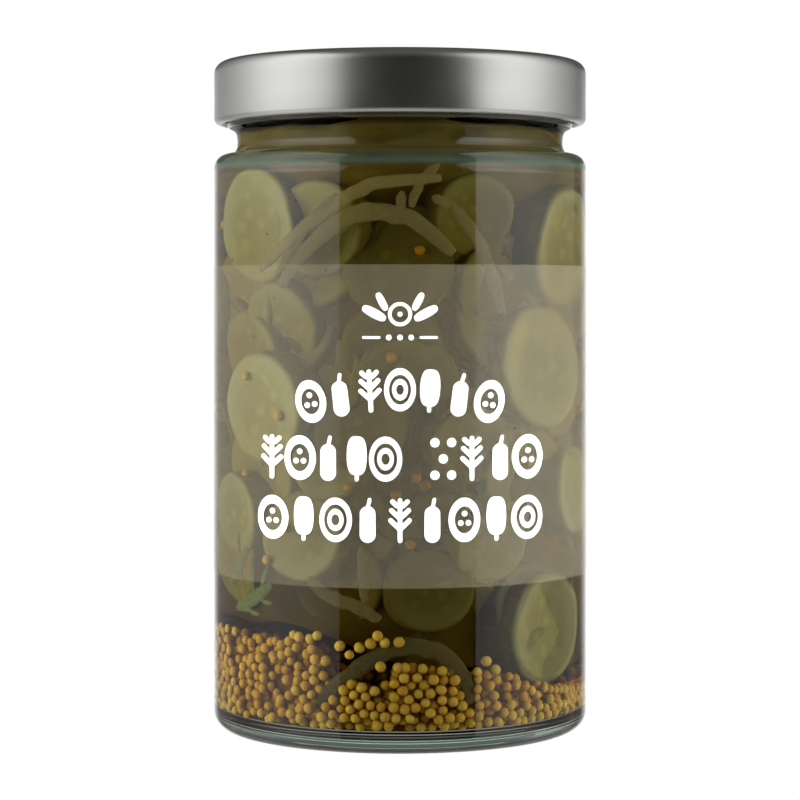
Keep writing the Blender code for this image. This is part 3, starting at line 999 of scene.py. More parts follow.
def glass_section():
    """Half section of the glass: up inside from the middle of the floor, and down outside."""
    rim = [(NECK_INSIDE, BRINE_TOP)]
    rim += arc(NECK_INSIDE + 1.2, RIM_HEIGHT - 1.2, 1.2, 180, 90, 5)
    rim += arc(FINISH_RADIUS - 1.2, RIM_HEIGHT - 1.2, 1.2, 90, 0, 5)
    finish = [(FINISH_RADIUS, 147.0 - 0.45 * i) for i in range(16)]
    bead = [(FINISH_RADIUS - 0.35, 139.85)] + arc(38.6, 138.4, 1.2, 50, -60, 7)
    neck = [
        (38.4, 136.95),
        (37.8, 136.4),
        (37.5, 135.6),
        (NECK_RADIUS, 134.6),
        (NECK_RADIUS, 133.6),
        (NECK_RADIUS + 0.08, 132.9),
        (NECK_RADIUS + 0.4, 132.2),
        (NECK_RADIUS + 1.0, 131.7),
        (NECK_RADIUS + 1.7, 131.42),
    ]
    shoulder = arc(
        BODY_RADIUS - SHOULDER_CORNER, SHOULDER - SHOULDER_CORNER, SHOULDER_CORNER, 88, 0, 9
    )
    wall = [(BODY_RADIUS, h) for h in (96.0, 66.0, 36.0)]
    base = arc(BODY_RADIUS - BASE_CORNER, BASE_CORNER, BASE_CORNER, 0, -90, 10)
    ring_inside = BODY_RADIUS - BASE_CORNER - 2.4
    under = [
        (ring_inside, 0.0),
        (ring_inside - 0.7, 0.25),
        (ring_inside - 1.6, 0.85),
        (ring_inside - 3.0, 1.4),
        (ring_inside - 5.0, 1.7),
        (20.0, 1.9),
        (0.0, PUSH_UP),
    ]
    return inner_wall() + rim + finish + bead + neck + shoulder + wall + base + under


def raise_threads(glass):
    """Pushes four sloping threads out of the finish, in the rows that were left for them."""
    for vertex in glass.data.vertices:
        radius = math.hypot(vertex.co.x, vertex.co.y) / MM
        height = vertex.co.z / MM
        if radius < FINISH_RADIUS - 0.05 or not 140.0 < height < 147.0:
            continue
        turn = math.degrees(math.atan2(vertex.co.x, -vertex.co.y))
        lift = 0.0
        for number in range(4):
            share = ((turn - 90.0 * number - 20.0) % 360.0) / 70.0
            if share > 1.0:
                continue
            size = 0.45 + 0.55 * math.sin(math.pi * (0.08 + 0.84 * share))
            away = (height - 144.6 + 3.2 * share) / size
            lift = max(lift, size * math.sqrt(max(0.0, 1.0 - away * away)))
        stretch = 1.0 + lift / radius
        vertex.co.x *= stretch
        vertex.co.y *= stretch


class PICKLEJAR_OT_glass(bpy.types.Operator):
    """Add the glass jar, turned from its half section, with threads on its finish"""

    bl_idname = "picklejar.glass"
    bl_label = "Glass Jar"

    def execute(self, context):
        glass = turned("glass_shell", glass_section(), 160)
        raise_threads(glass)
        settle(glass, 60.0)
        dress(glass, clear_glass(), ("jar_glass",))
        wet = glass.data.attributes.new("wet", "FLOAT", "FACE")
        for face in glass.data.polygons:
            radius = math.hypot(face.center.x, face.center.y) / MM
            height = face.center.z / MM
            straight = 4.4 < height < 124.0 or 134.0 < height < BRINE_TOP
            inside = INNER_RADIUS + 0.1 if height < 124.0 else NECK_INSIDE + 0.1
            if INNER_RADIUS - FLOOR_CORNER - 1.0 < radius < inside and straight:
                wet.data[face.index].value = 1.0
            # Painted shade: on the neck under the lid's edge most of the mirror is left out, so the neck
            # shows darker.
            if NECK_RADIUS - 0.1 < radius < 38.9 and 132.0 < height < 140.0:
                wet.data[face.index].value = 0.65
        return {"FINISHED"}


class PICKLEJAR_OT_brine(bpy.types.Operator):
    """Add the brine, which reaches a little way into the glass so that no gap of air shows"""

    bl_idname = "picklejar.brine"
    bl_label = "Brine"

    def execute(self, context):
        reach = 0.4
        wall = inner_wall()
        section = []
        for i, (radius, height) in enumerate(wall):
            before, after = wall[max(i - 1, 0)], wall[min(i + 1, len(wall) - 1)]
            along = Vector((after[0] - before[0], after[1] - before[1])).normalized()
            out = Vector((along.y, -along.x))
            if radius == 0.0:
                section.append((0.0, height - reach))
            else:
                section.append((radius + out.x * reach, height + out.y * reach))
        top = NECK_INSIDE + reach
        section += [(top, BRINE_TOP), (NECK_INSIDE - 0.6, BRINE_TOP - 0.2)]
        section += [(NECK_INSIDE - 2.0, BRINE_TOP - 0.5), (20.0, BRINE_TOP - 0.6)]
        section += [(0.0, BRINE_TOP - 0.6)]
        brine = turned("brine", section, 160)
        settle(brine, 60.0)
        dress(brine, pickling_brine())
        return {"FINISHED"}


class PICKLEJAR_OT_lid(bpy.types.Operator):
    """Add the twist lid, turned, with a sunk panel, a low button and a rolled edge"""

    bl_idname = "picklejar.lid"
    bl_label = "Lid"

    def execute(self, context):
        radius, metal, curl = BODY_RADIUS, 0.6, 1.4
        panel = JAR_HEIGHT - 0.8
        underside = JAR_HEIGHT - metal - 0.45
        section = [(0.0, panel + 0.5), (6.0, panel + 0.48), (9.5, panel + 0.4)]
        section += [(11.5, panel + 0.22), (12.3, panel + 0.05), (13.0, panel), (24.0, panel)]
        section += [(34.6, panel), (35.1, panel + 0.08), (35.6, panel + 0.3)]
        section += [(36.1, JAR_HEIGHT - 0.2), (36.6, JAR_HEIGHT - 0.05), (37.3, JAR_HEIGHT)]
        section += arc(radius - 2.8, JAR_HEIGHT - 2.8, 2.8, 90, 0, 10)
        section += [(radius, 148.0), (radius - 0.05, 144.0)]
        section += arc(radius - curl, LID_BOTTOM + curl, curl, 0, -180, 12)
        section += [
            (radius - 2.55, LID_BOTTOM + 2.4),
            (radius - 1.6, LID_BOTTOM + 3.1),
            (radius - 0.9, LID_BOTTOM + 3.5),
            (radius - metal, LID_BOTTOM + 3.9),
            (radius - metal, JAR_HEIGHT - 2.8),
            (radius - 1.2, JAR_HEIGHT - 1.5),
            (radius - 2.5, underside),
            (34.4, underside),
            (34.0, panel - metal),
            (0.0, panel - metal),
        ]
        lid = turned("tinplate_lid", section, 192)
        settle(lid, 50.0)
        dress(lid, satin_tinplate(), ("lid",))
        lid.data.materials.append(lid_lacquer())
        for face in lid.data.polygons:
            radius = math.hypot(face.center.x, face.center.y) / MM
            facing_in = face.normal.x * face.center.x + face.normal.y * face.center.y < -1e-6
            facing_in = facing_in and face.center.z < (JAR_HEIGHT - 1.2) * MM
            under = face.normal.z < -0.5 and face.center.z > 148.0 * MM
            if radius < BODY_RADIUS - 1.0 - 0.5 * curl and facing_in or under:
                face.material_index = 1
        return {"FINISHED"}


# Label


def flat(name):
    """Names the new flat shape."""
    piece = bpy.context.active_object
    piece.name = name
    return piece


def ring_shape(radius, stroke, tall=1.0):
    """A ring in the XY plane: a disc, inset, with its middle taken out."""
    deselect()
    bpy.ops.mesh.primitive_circle_add(vertices=48, radius=radius * MM, fill_type="NGON")
    piece = flat("ring")
    edit("FACE")
    bpy.ops.mesh.select_all(action="SELECT")
    bpy.ops.mesh.inset(thickness=stroke * MM)
    bpy.ops.mesh.delete(type="FACE")
    bpy.ops.mesh.select_all(action="SELECT")
    bpy.ops.transform.resize(value=(1.0, tall, 1.0))
    done()
    return piece


def dot_shape(radius, x=0.0, y=0.0):
    """A small disc."""
    deselect()
    bpy.ops.mesh.primitive_circle_add(
        vertices=20, radius=radius * MM, fill_type="TRIFAN", location=(x * MM, y * MM, 0.0)
    )
    return flat("dot")


def bar_shape(length, width, x=0.0, y=0.0, lean=0.0):
    """A bar with round ends along Y: a disc whose upper half is moved away."""
    deselect()
    bpy.ops.mesh.primitive_circle_add(vertices=28, radius=0.5 * width * MM, fill_type="NGON")
    piece = flat("bar")
    edit()
    pick(piece, "VERT", lambda co: co.y > 0.001 * MM)
    bpy.ops.transform.translate(value=(0.0, (length - width) * MM, 0.0))
    bpy.ops.mesh.select_all(action="SELECT")
    bpy.ops.transform.translate(value=(0.0, -0.5 * (length - width) * MM, 0.0))
    done()
    piece.location = (x * MM, y * MM, 0.0)
    piece.rotation_euler.z = math.radians(lean)
    return piece


def leaf_shape(length, width, x=0.0, y=0.0, lean=0.0):
    """A leaf with pointed ends along Y: a disc stretched and pinched at its ends."""
    deselect()
    bpy.ops.mesh.primitive_circle_add(vertices=32, radius=0.5 * width * MM, fill_type="NGON")
    piece = flat("leaf")
    for vertex in piece.data.vertices:
        share = vertex.co.y / (0.5 * width * MM)
        vertex.co.y = 0.5 * length * MM * math.sin(0.5 * math.pi * share)
        vertex.co.x *= 1.0 - 0.25 * abs(share) ** 3
    piece.location = (x * MM, y * MM, 0.0)
    piece.rotation_euler.z = math.radians(lean)
    return piece


def slice_mark(tall, stroke):
    """A cut slice: a ring with three seeds."""
    radius = 0.36 * tall
    marks = [ring_shape(radius, 0.9 * stroke, 0.5 * tall / radius)]
    for turn in (90, 210, 330):
        a = math.radians(turn)
        marks.append(dot_shape(0.42 * stroke, 0.95 * math.cos(a), 1.35 * math.sin(a)))
    return marks


def gherkin_mark(tall, stroke):
    """A whole gherkin: a thick bar with round ends and a short stalk."""
    marks = [bar_shape(0.82 * tall, 2.3 * stroke, 0.0, -0.09 * tall)]
    marks.append(bar_shape(0.3 * tall, 0.55 * stroke, 0.2, 0.36 * tall, -12.0))
    return marks


def sprig_mark(tall, stroke):
    """A sprig: a stem with three pairs of short leaves."""
    marks = [bar_shape(tall, 0.7 * stroke)]
    for y, long in ((-0.16, 3.4), (0.08, 3.0), (0.3, 2.3)):
        for side in (-1.0, 1.0):
            lean = -side * 46.0
            marks.append(bar_shape(long, 0.72 * stroke, side * 1.15, y * tall + 0.75, lean))
    return marks


def leaf_mark(tall, stroke):
    """A leaf on a short stalk."""
    marks = [leaf_shape(0.86 * tall, 2.9 * stroke, 0.0, 0.07 * tall)]
    marks.append(bar_shape(0.3 * tall, 0.6 * stroke, 0.0, -0.35 * tall))
    return marks


def onion_mark(tall, stroke):
    """A cut onion: one ring in another."""
    radius = 0.37 * tall
    marks = [ring_shape(radius, 0.72 * stroke, 0.5 * tall / radius)]
    marks.append(ring_shape(0.5 * radius, 0.6 * stroke, 0.5 * tall / radius))
    return marks


def seeds_mark(tall, stroke):
    """Scattered seeds: five dots."""
    size = 0.68 * stroke
    spots = ((0.0, 0.0), (-1.8, 0.36), (1.8, 0.36), (-1.8, -0.36), (1.8, -0.36))
    return [dot_shape(size, x, y * tall) for x, y in spots]


def print_row(marks, tall, stroke, height, step, bow=0.0):
    """A row of marks on the flat label, evenly spaced and wide as seen from the front.

    bow drops the ends of the row, in millimetres.
    """
    row = []
    middle = 0.5 * (len(marks) - 1)
    for i, mark in enumerate(marks):
        if mark is None:
            continue
        made = join("mark", mark(tall, stroke))
        share = (i - middle) / middle
        angle = math.asin((i - middle) * step / BODY_RADIUS)
        hold(made)
        bpy.ops.object.transform_apply(location=True, rotation=True, scale=True)
        made.rotation_euler.z = math.radians(-share * bow * 3.6)
        bpy.ops.object.transform_apply(location=True, rotation=True, scale=True)
        made.scale.x = 1.0 / math.cos(angle)
        made.location = (BODY_RADIUS * angle * MM, (height - bow * share**2) * MM, 0.0)
        row.append(made)
    return row


def wrap(piece, radius):
    """Bends a flat piece round the jar: X goes round, Y goes up and Z goes out."""
    for vertex in piece.data.vertices:
        angle = vertex.co.x / (radius * MM)
        out = radius * MM + vertex.co.z
        vertex.co = (out * math.sin(angle), -out * math.cos(angle), vertex.co.y)


class PICKLEJAR_OT_label(bpy.types.Operator):
    """Add the clear film label and the white shapes that are printed on it"""

    bl_idname = "picklejar.label"
    bl_label = "Label"

    def execute(self, context):
        low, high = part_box("label_film")
        bottom, top = low[2] / MM, high[2] / MM
        section = [(42.9, top), (42.9, bottom), (42.8, bottom), (42.8, top)]
        film = turned("film_label", section, 160, ring=True)
        settle(film)
        dress(film, label_film(), ("label_film",))

        stroke = sizes().print_stroke / MM
        slice_, gherkin, sprig = slice_mark, gherkin_mark, sprig_mark
        leaf, onion, seeds = leaf_mark, onion_mark, seeds_mark
        shapes = print_row(
            (slice_, gherkin, sprig, onion, leaf, gherkin, slice_),
            9.3, stroke, 78.8, 6.45, 2.7,
        )
        shapes += print_row(
            (sprig, slice_, gherkin, leaf, onion, None, seeds, sprig, gherkin, slice_),
            9.7, stroke, 63.9, 6.2,
        )
        shapes += print_row(
            (slice_, leaf, onion, gherkin, sprig, gherkin, slice_, leaf, onion),
            9.6, stroke, 50.7, 6.95,
        )
        small = [ring_shape(2.6, 0.8), dot_shape(0.55)]
        small += [leaf_shape(5.6, 2.0, side * 5.6, 0.2, side * -62.0) for side in (-1, 1)]
        small += [leaf_shape(4.2, 1.6, side * 3.9, 2.7, side * -28.0) for side in (-1, 1)]
        small += [bar_shape(4.0, 0.6, side * 6.2, -5.0, 90.0) for side in (-1, 1)]
        small += [dot_shape(0.62, x, -5.0) for x in (-2.4, 0.0, 2.4)]
        for piece in small:
            piece.location.y += 95.0 * MM
        printed = join("label_print", shapes + small)
        hold(printed)
        bpy.ops.object.transform_apply(location=True, rotation=True, scale=True)
        edit()
        bpy.ops.mesh.select_all(action="SELECT")
        bpy.ops.mesh.quads_convert_to_tris()
        bpy.ops.mesh.subdivide(number_cuts=1)
        done()
        thick = printed.modifiers.new("film", "SOLIDIFY")
        thick.thickness = 0.05 * MM
        thick.offset = 1.0
        hold(printed)
        bpy.ops.object.modifier_apply(modifier="film")
        wrap(printed, 42.97)
        settle(printed)
        dress(printed, white_ink())
        return {"FINISHED"}


# Contents


def heap_top(x, y):
    """Height of the mustard seeds' heap, which falls in two soft steps from left to right."""
    left, right = [1.0 / (1.0 + math.exp((x - edge) / 3.5)) for edge in (-8.0, 27.0)]
    top = 10.6 + 7.4 * right + 6.4 * left
    return top + 0.6 * math.sin(0.16 * x + 0.11 * y) + 0.5 * math.sin(0.27 * y - 0.9)


def seed_level(x, y):
    """Height of the seeds: the heap's top, with a hollow in front where the arched strip lies."""
    front = 1.0 / (1.0 + math.exp((y + 27.0) / 2.0))
    sunk = 3.5 * max(0.0, 1.0 - (math.hypot(x, y) / 38.0) ** 4)
    return heap_top(x, y) - sunk - 7.5 * front * math.exp(-(((x + 9.0) / 7.5) ** 4))


def lifted(place):
    """The same place, raised where the slice's rim would dip into the mustard seeds."""
    turn, height, size, thick, lean, inset = place[:6]
    lift = 0.0
    for i in range(24):
        angle = math.tau * i / 24
        aside = math.degrees(math.atan2(size * math.cos(angle), PACK_RADIUS - inset))
        for depth in (0.0, thick):
            spot = at(turn + aside, height + size * math.sin(angle), PACK_RADIUS - inset - depth)
            seeds = heap_top(spot.x / MM, spot.y / MM) + 2.4
            lift = max(lift, seeds - spot.z / MM)
    return (turn, height + lift, size, thick, lean, inset) + place[6:]


def slice_places():
    """Every slice: the ones seen at the front, and rows of others round the rest of the jar."""
    chance = random.Random(7)
    places = list(FRONT_SLICES + BEHIND_SLICES)
    for row, height in enumerate(SLICE_HEIGHTS):
        for i in range(SLICES_ROUND):
            turn = 360.0 * (i + 0.5 * (row % 2)) / SLICES_ROUND + chance.uniform(-5, 5)
            size = chance.uniform(11.0, 13.6)
            thick = chance.uniform(7.5, 10.0)
            lean = chance.uniform(-16, 16)
            lift = chance.uniform(-1.5, 1.5)
            if FRONT_TURN < turn % 360.0 < 360.0 - FRONT_TURN:
                inset = chance.uniform(0, 1.4)
                places.append((turn, height + lift, size, thick, lean, inset, 0.7 + 0.4 * inset))
    return [place if place == LOW_SLICE else lifted(place) for place in places]


def slice_master():
    """One slice, 12 mm in radius and 9 mm thick: a disc with round rims and hollowed faces."""
    deselect()
    bpy.ops.mesh.primitive_cylinder_add(vertices=40, radius=12.0 * MM, depth=9.0 * MM)
    piece = bpy.context.active_object
    piece.name = "slice"
    edit()
    edge = 4.5 * MM - 1e-6
    pick(
        piece,
        "EDGE",
        lambda a, b: (a.z > edge and b.z > edge) or (a.z < -edge and b.z < -edge),
    )
    bpy.ops.mesh.bevel(offset=sizes().skin, segments=2, affect="EDGES")
    for side in (-1.0, 1.0):
        pick(piece, "FACE", lambda f, s=side: f.normal.z * s > 0.99 and len(f.vertices) > 4)
        for inset, drop in ((1.0, 0.05), (2.0, 0.35), (3.0, 0.3), (3.0, -0.1)):
            bpy.ops.mesh.inset(thickness=inset * MM)
            bpy.ops.transform.translate(value=(0.0, 0.0, -side * drop * MM))
        bpy.ops.mesh.poke()
    pick(piece, "EDGE", lambda a, b: abs(a.z - b.z) > 4.0 * MM)
    bpy.ops.mesh.subdivide(number_cuts=2)
    bpy.ops.mesh.select_all(action="SELECT")
    bpy.ops.mesh.normals_make_consistent(inside=False)
    done()
    piece.data.attributes.new("tone", "FLOAT", "POINT")
    face = piece.data.uv_layers.new(name="slice")
    for loop in piece.data.loops:
        spot = piece.data.vertices[loop.vertex_index].co
        face.data[loop.index].uv = (0.5 + spot.x / (24.0 * MM), 0.5 + spot.y / (24.0 * MM))
    return piece


def slice_seat(place, deeper=0.0):
    """Where a slice lies: its middle, its face turned out to the glass and leaning."""
    turn, height, size, thick, lean, inset = place[:6]
    tilt = math.radians(lean)
    reach, out = size * math.cos(tilt), size * abs(math.sin(tilt))
    face = math.sqrt((PACK_RADIUS - inset) ** 2 - reach**2) - 0.45 * out
    outwards = at(turn, 0.0, 1.0).to_track_quat("Z", "Y").to_matrix().to_4x4()
    middle = Matrix.Translation(at(turn, height, face - 0.5 * thick - deeper))
    return middle @ outwards @ Matrix.Rotation(tilt, 4, "X")


def place_slice(master, place, chance, deeper=0.0):
    """A copy of the slice in its place, its outline and faces made uneven."""
    turn, height, size, thick, lean, inset, tone = place
    piece = copy_of(master, "slice")
    values = [tone] * len(piece.data.vertices)
    piece.data.attributes["tone"].data.foreach_set("value", values)
    spin = Matrix.Rotation(chance.uniform(0, math.tau), 4, "Z")
    oval = (chance.uniform(0.93, 1.0), chance.uniform(0.93, 1.0))
    stretch = Matrix.Diagonal((oval[0] * size / 12.0, oval[1] * size / 12.0, thick / 9.0, 1.0))
    seat = slice_seat(place, deeper) @ spin @ stretch
    shift = Vector((turn, height, 0.0))
    for vertex in piece.data.vertices:
        spot = vertex.co / MM
        around = Vector((spot.x, spot.y, 0.0)).normalized() * 1.3
        wave = noise.noise(around + shift)
        dent = noise.noise(spot * 0.16 + shift)
        spread = 1.0 + 0.035 * wave - 0.015
        vertex.co.x *= spread
        vertex.co.y *= spread
        vertex.co.z += 0.5 * dent * MM
    piece.data.transform(seat)
    return piece


class PICKLEJAR_OT_cucumbers(bpy.types.Operator):
    """Add the cucumber slices: one is modelled, then copied into every place round a dark core"""

    bl_idname = "picklejar.cucumbers"
    bl_label = "Cucumber Slices"

    def execute(self, context):
        master = slice_master()
        chance = random.Random(11)
        places = slice_places()
        slices = [place_slice(master, place, chance) for place in places]
        deep = random.Random(23)
        for height, light in DEEP_ROWS:
            for i in range(8):
                turn = 45.0 * i + 0.5 * height + deep.uniform(-9, 9)
                lean, tone = deep.uniform(-20, 20), light * deep.uniform(0.75, 1.1)
                place = (turn, height + deep.uniform(-3, 3), 10.5, 8.0, lean, 0.0, tone)
                slices.append(place_slice(master, lifted(place), deep, deep.uniform(4.0, 6.5)))
        remove(master)
        heap = join("cucumber_slices", slices)
        settle(heap, 70.0)
        dress(heap, pickled_cucumber(), ("cucumber_heap",))

        section = [(0.0, NECK_TOP), (10.0, NECK_TOP), (20.0, NECK_TOP - 0.5)]
        section += arc(26.0, NECK_TOP - 5.0, 5.0, 90, 0, 4) + [(31.0, 134.0), (33.0, 130.0), (33.2, 124.0)]
        section += [(28.5, CORE_TOP), (29.0, 100.0), (28.5, 80.0), (29.0, 60.0), (28.5, 45.0)]
        section += arc(25.0, CORE_BOTTOM + 4.0, 4.0, 0, -90, 4) + [(0.0, CORE_BOTTOM)]
        core = turned("packed_core", section, 64)
        for vertex in core.data.vertices:
            if vertex.co.z < (CORE_BOTTOM + 1.5) * MM:
                vertex.co.z = (heap_top(vertex.co.x / MM, vertex.co.y / MM) + 0.5) * MM
            vertex.co *= 1.0 + 0.05 * noise.noise(vertex.co * 90.0)
            if vertex.co.y > 0.0 and vertex.co.z < 50.0 * MM:
                # It fills the low gaps behind, so that no light comes through from there.
                out = 1.0 + 0.13 * min(1.0, vertex.co.y / (9.0 * MM))
                vertex.co.x *= out
                vertex.co.y *= out
        settle(core, 80.0)
        dress(core, deep_pickles())
        return {"FINISHED"}


def seed_master(radius):
    """One mustard seed: a ball with few faces, a little longer than wide."""
    deselect()
    bpy.ops.mesh.primitive_ico_sphere_add(subdivisions=2, radius=radius)
    piece = bpy.context.active_object
    piece.name = "seed"
    edit()
    bpy.ops.mesh.select_all(action="SELECT")
    bpy.ops.transform.resize(value=(1.05, 0.97, 0.98))
    pick(piece, "VERT", lambda co: co.x > 0.9 * radius)
    bpy.ops.transform.translate(value=(-0.06 * radius, 0.0, 0.0))
    done()
    tone = piece.data.attributes.new("tone", "FLOAT", "POINT")
    tone.data.foreach_set("value", [0.5] * len(piece.data.vertices))
    return piece


def scatter_seeds(name, master, centres, chance, lightness=0.5):
    """Copies of the seed at the centres, each turned and toned by itself, joined to one piece."""
    seeds = []
    axis = Vector((1.0, 2.0, 3.0)).normalized()
    for centre in centres:
        seed = copy_of(master, "seed")
        size = chance.uniform(0.9, 1.06)
        turned_by = Matrix.Rotation(chance.uniform(0, math.tau), 4, axis)
        tip = Matrix.Rotation(chance.uniform(0, math.tau), 4, "Y")
        seed.data.transform(
            Matrix.Translation(centre) @ turned_by @ tip @ Matrix.Scale(size, 4)
        )
        # Painted light: the lowest seeds' tone is raised, standing in for the light that comes through the
        # base.
        low = max(0.0, 1.0 - (centre.z / MM - FLOOR_EDGE - 1.5) / 4.5)
        tone = min(1.0, max(0.0, chance.gauss(lightness + 0.5 * low, 0.24)))
        values = [tone] * len(seed.data.vertices)
        seed.data.attributes["tone"].data.foreach_set("value", values)
        seeds.append(seed)
    return join(name, seeds)


def packed_centres(radius, strip):
    """Centres of the mustard seeds: thrown into the heap's outer layers, then pushed apart."""
    chance = np.random.default_rng(5)
    wall = INNER_RADIUS - 0.12 - radius
    points = []
    while len(points) < SEEDS_IN_HEAP:
        turn = chance.uniform(0.0, math.tau)
        side = chance.random() < 0.62
        deep = wall - 4.2 * chance.random() if side else (wall - 3.0) * math.sqrt(chance.random())
        x, y = deep * math.sin(turn), -deep * math.cos(turn)
        top = seed_level(x, y)
        low = FLOOR_EDGE + 1.0 if side else top - 2.6
        points.append((x, y, chance.uniform(low, top)))
    spots = np.array(points)
    corner = INNER_RADIUS - FLOOR_CORNER
    for round_ in range(14):
        tree = kdtree.KDTree(len(spots))
        for i, spot in enumerate(spots):
            tree.insert(spot, i)
        tree.balance()
        pairs = [
            (i, j)
            for i, spot in enumerate(spots)
            for _, j, _ in tree.find_range(spot, 2.0 * radius + 0.5)
            if i < j
        ]
        first, second = np.array(pairs).T
        for _ in range(5):
            gap = spots[first] - spots[second]
            far = np.sqrt((gap**2).sum(1)) + 1e-6
            push = gap / far[:, None] * np.clip(1.97 * radius - far, 0.0, None)[:, None] * 0.35
            np.add.at(spots, first, push)
            np.add.at(spots, second, -push)
            aside = spots[:, None, :] - strip[None, :, :]
            near = np.sqrt((aside**2).sum(-1)) + 1e-6
            best = near.argmin(1)
            rows = np.arange(len(spots))
            shove = np.clip(radius + 0.85 - near[rows, best], 0.0, None) / near[rows, best]
            spots += aside[rows, best] * shove[:, None] * (1.0, 1.0, 0.3)
            out = np.hypot(spots[:, 0], spots[:, 1]) + 1e-6
            beyond = np.clip(out - corner, 0.0, FLOOR_CORNER - radius - 0.05)
            bend = FLOOR_EDGE + FLOOR_CORNER - np.sqrt((FLOOR_CORNER - radius) ** 2 - beyond**2)
            low = np.maximum(FLOOR_EDGE + radius + 0.2, bend + 0.1)
            tops = np.array([seed_level(x, y) for x, y in spots[:, :2]])
            spots[:, 2] = np.clip(spots[:, 2], low, np.maximum(tops - 0.3, low))
            spots[:, :2] *= (np.minimum(out, wall) / out)[:, None]
    # Some are left out for the dark gaps, and those that the low slice pushes away.
    to_slice = slice_seat(LOW_SLICE).inverted()
    centres = []
    for spot in spots:
        here = to_slice @ (Vector(spot) * MM) / MM
        beside = math.hypot(here.x, here.y) < LOW_SLICE[2] + 0.8 * radius
        if chance.random() > 0.09 and not (beside and abs(here.z) < 0.5 * LOW_SLICE[3] + radius):
            centres.append(Vector(spot) * MM)
    return centres


class PICKLEJAR_OT_seeds(bpy.types.Operator):
    """Add the mustard seeds: a heap on the floor of the jar, and loose ones on the slices"""

    bl_idname = "picklejar.seeds"
    bl_label = "Mustard Seeds"

    def execute(self, context):
        radius = sizes().seed_radius
        master = seed_master(radius)
        arch = [at(turn, h, STRIP_RADIUS) / MM for turn, h in smooth_line(ONION_STRIPS[4], 12)]
        centres = packed_centres(radius / MM, np.array(arch))
        heap = scatter_seeds("mustard_seeds", master, centres, random.Random(3))
        settle(heap, 180.0)
        material = mustard_seed()
        dress(heap, material, ("mustard_seed_heap",))

        top = [(0.0, 20.0), (8.0, 20.0), (16.0, 20.0), (24.0, 20.0), (30.0, 20.0), (35.4, 20.0)]
        section = top + [(36.0, 12.0), (36.0, 8.0), (34.0, 5.6), (0.0, 5.6)]
        core = turned("mustard_core", section, 48)
        for vertex in core.data.vertices:
            if vertex.co.z > 19.0 * MM:
                vertex.co.z = (seed_level(vertex.co.x / MM, vertex.co.y / MM) - 2.6) * MM
        settle(core, 60.0)
        dress(core, seeds_in_depth())

        slices = bpy.data.objects["cucumber_slices"].data
        surface = BVHTree.FromPolygons(
            [v.co for v in slices.vertices], [tuple(p.vertices) for p in slices.polygons]
        )
        chance = random.Random(11)
        places = list(LOOSE_SEEDS)
        places += [(chance.uniform(92, 268), chance.uniform(34, 118)) for _ in range(16)]
        loose = []
        for turn, height in places:
            inwards = at(turn, 0.0, -1.0).normalized()
            hit = surface.ray_cast(at(turn, height, INNER_RADIUS), inwards)[0]
            depth = 1.2 * MM if hit is None else 0.0
            spot = at(turn, height, 38.6) if hit is None else hit
            loose.append(spot - inwards * (radius - 0.3 * MM - depth))
        for turn, height in ARCH_SEEDS:
            loose.append(at(turn, height, INNER_RADIUS - 0.1) * 1.0)
            loose[-1] -= at(turn, 0.0, 1.0).normalized() * radius
        stuck = scatter_seeds("loose_seeds", master, loose, random.Random(4), 0.9)
        settle(stuck, 180.0)
        dress(stuck, material)
        remove(master)
        return {"FINISHED"}


def strip_piece(name, places, width, film, taper, ragged, tone=1.0):
    """A thin strip bent round inside the glass: a grid laid along the places, made solid."""
    steps = 10
    line = [at(turn, height, STRIP_RADIUS) for turn, height in smooth_line(places, steps)]
    count = len(line)
    deselect()
    bpy.ops.mesh.primitive_grid_add(x_subdivisions=count - 1, y_subdivisions=4, size=1.0)
    piece = bpy.context.active_object
    piece.name = name
    layer = piece.data.uv_layers[0]
    layer.name = "strip"
    tones = piece.data.attributes.new("tone", "FLOAT", "POINT")
    tones.data.foreach_set("value", [tone] * len(piece.data.vertices))
    length = sum((b - a).length for a, b in zip(line, line[1:]))
    for loop in piece.data.loops:
        spot = piece.data.vertices[loop.vertex_index].co
        layer.data[loop.index].uv = ((spot.x + 0.5) * length / (20.0 * MM), spot.y + 0.5)
    for vertex in piece.data.vertices:
        i = round((vertex.co.x + 0.5) * (count - 1))
        side = 2.0 * vertex.co.y
        along = line[min(i + 1, count - 1)] - line[max(i - 1, 0)]
        outwards = Vector((line[i].x, line[i].y, 0.0)).normalized()
        across = along.cross(outwards).normalized()
        share = i / (count - 1)
        room = 1.0 - taper * abs(2 * share - 1) ** 3
        wobble = 1.0 + ragged * noise.noise(Vector((i * 0.35, side, len(name))))
        cup = -0.22 * side * side * MM
        vertex.co = line[i] + across * (0.5 * side * width * room * wobble) + outwards * cup
    solid = piece.modifiers.new("film", "SOLIDIFY")
    solid.thickness = film * MM
    solid.offset = 0.0
    hold(piece)
    bpy.ops.object.modifier_apply(modifier="film")
    rounded = piece.modifiers.new("soft", "SUBSURF")
    rounded.levels = 1
    rounded.render_levels = 1
    bpy.ops.object.modifier_apply(modifier="soft")
    return piece


class PICKLEJAR_OT_strips(bpy.types.Operator):
    """Add the onion strips that lie between the slices and the glass"""

    bl_idname = "picklejar.strips"
    bl_label = "Onion Strips"

    def execute(self, context):
        material = pickled_onion()
        width = sizes().strip_width
        for i, places in enumerate(ONION_STRIPS):
            wide, tone = STRIP_LOOKS[i]
            name = "onion_%d" % (i + 1)
            piece = strip_piece(name, places, wide * width, 0.7, 0.5, 0.35, tone)
            settle(piece, 80.0)
            dress(piece, material, ("onion_strip_%d" % (i + 1),))
        bits = [
            strip_piece("onion_bit", places, 0.8 * width, 0.6, 0.6, 0.5, 0.5)
            for places in ONION_BITS
        ]
        piece = join("onion_bits", bits)
        settle(piece, 80.0)
        dress(piece, material)
        return {"FINISHED"}


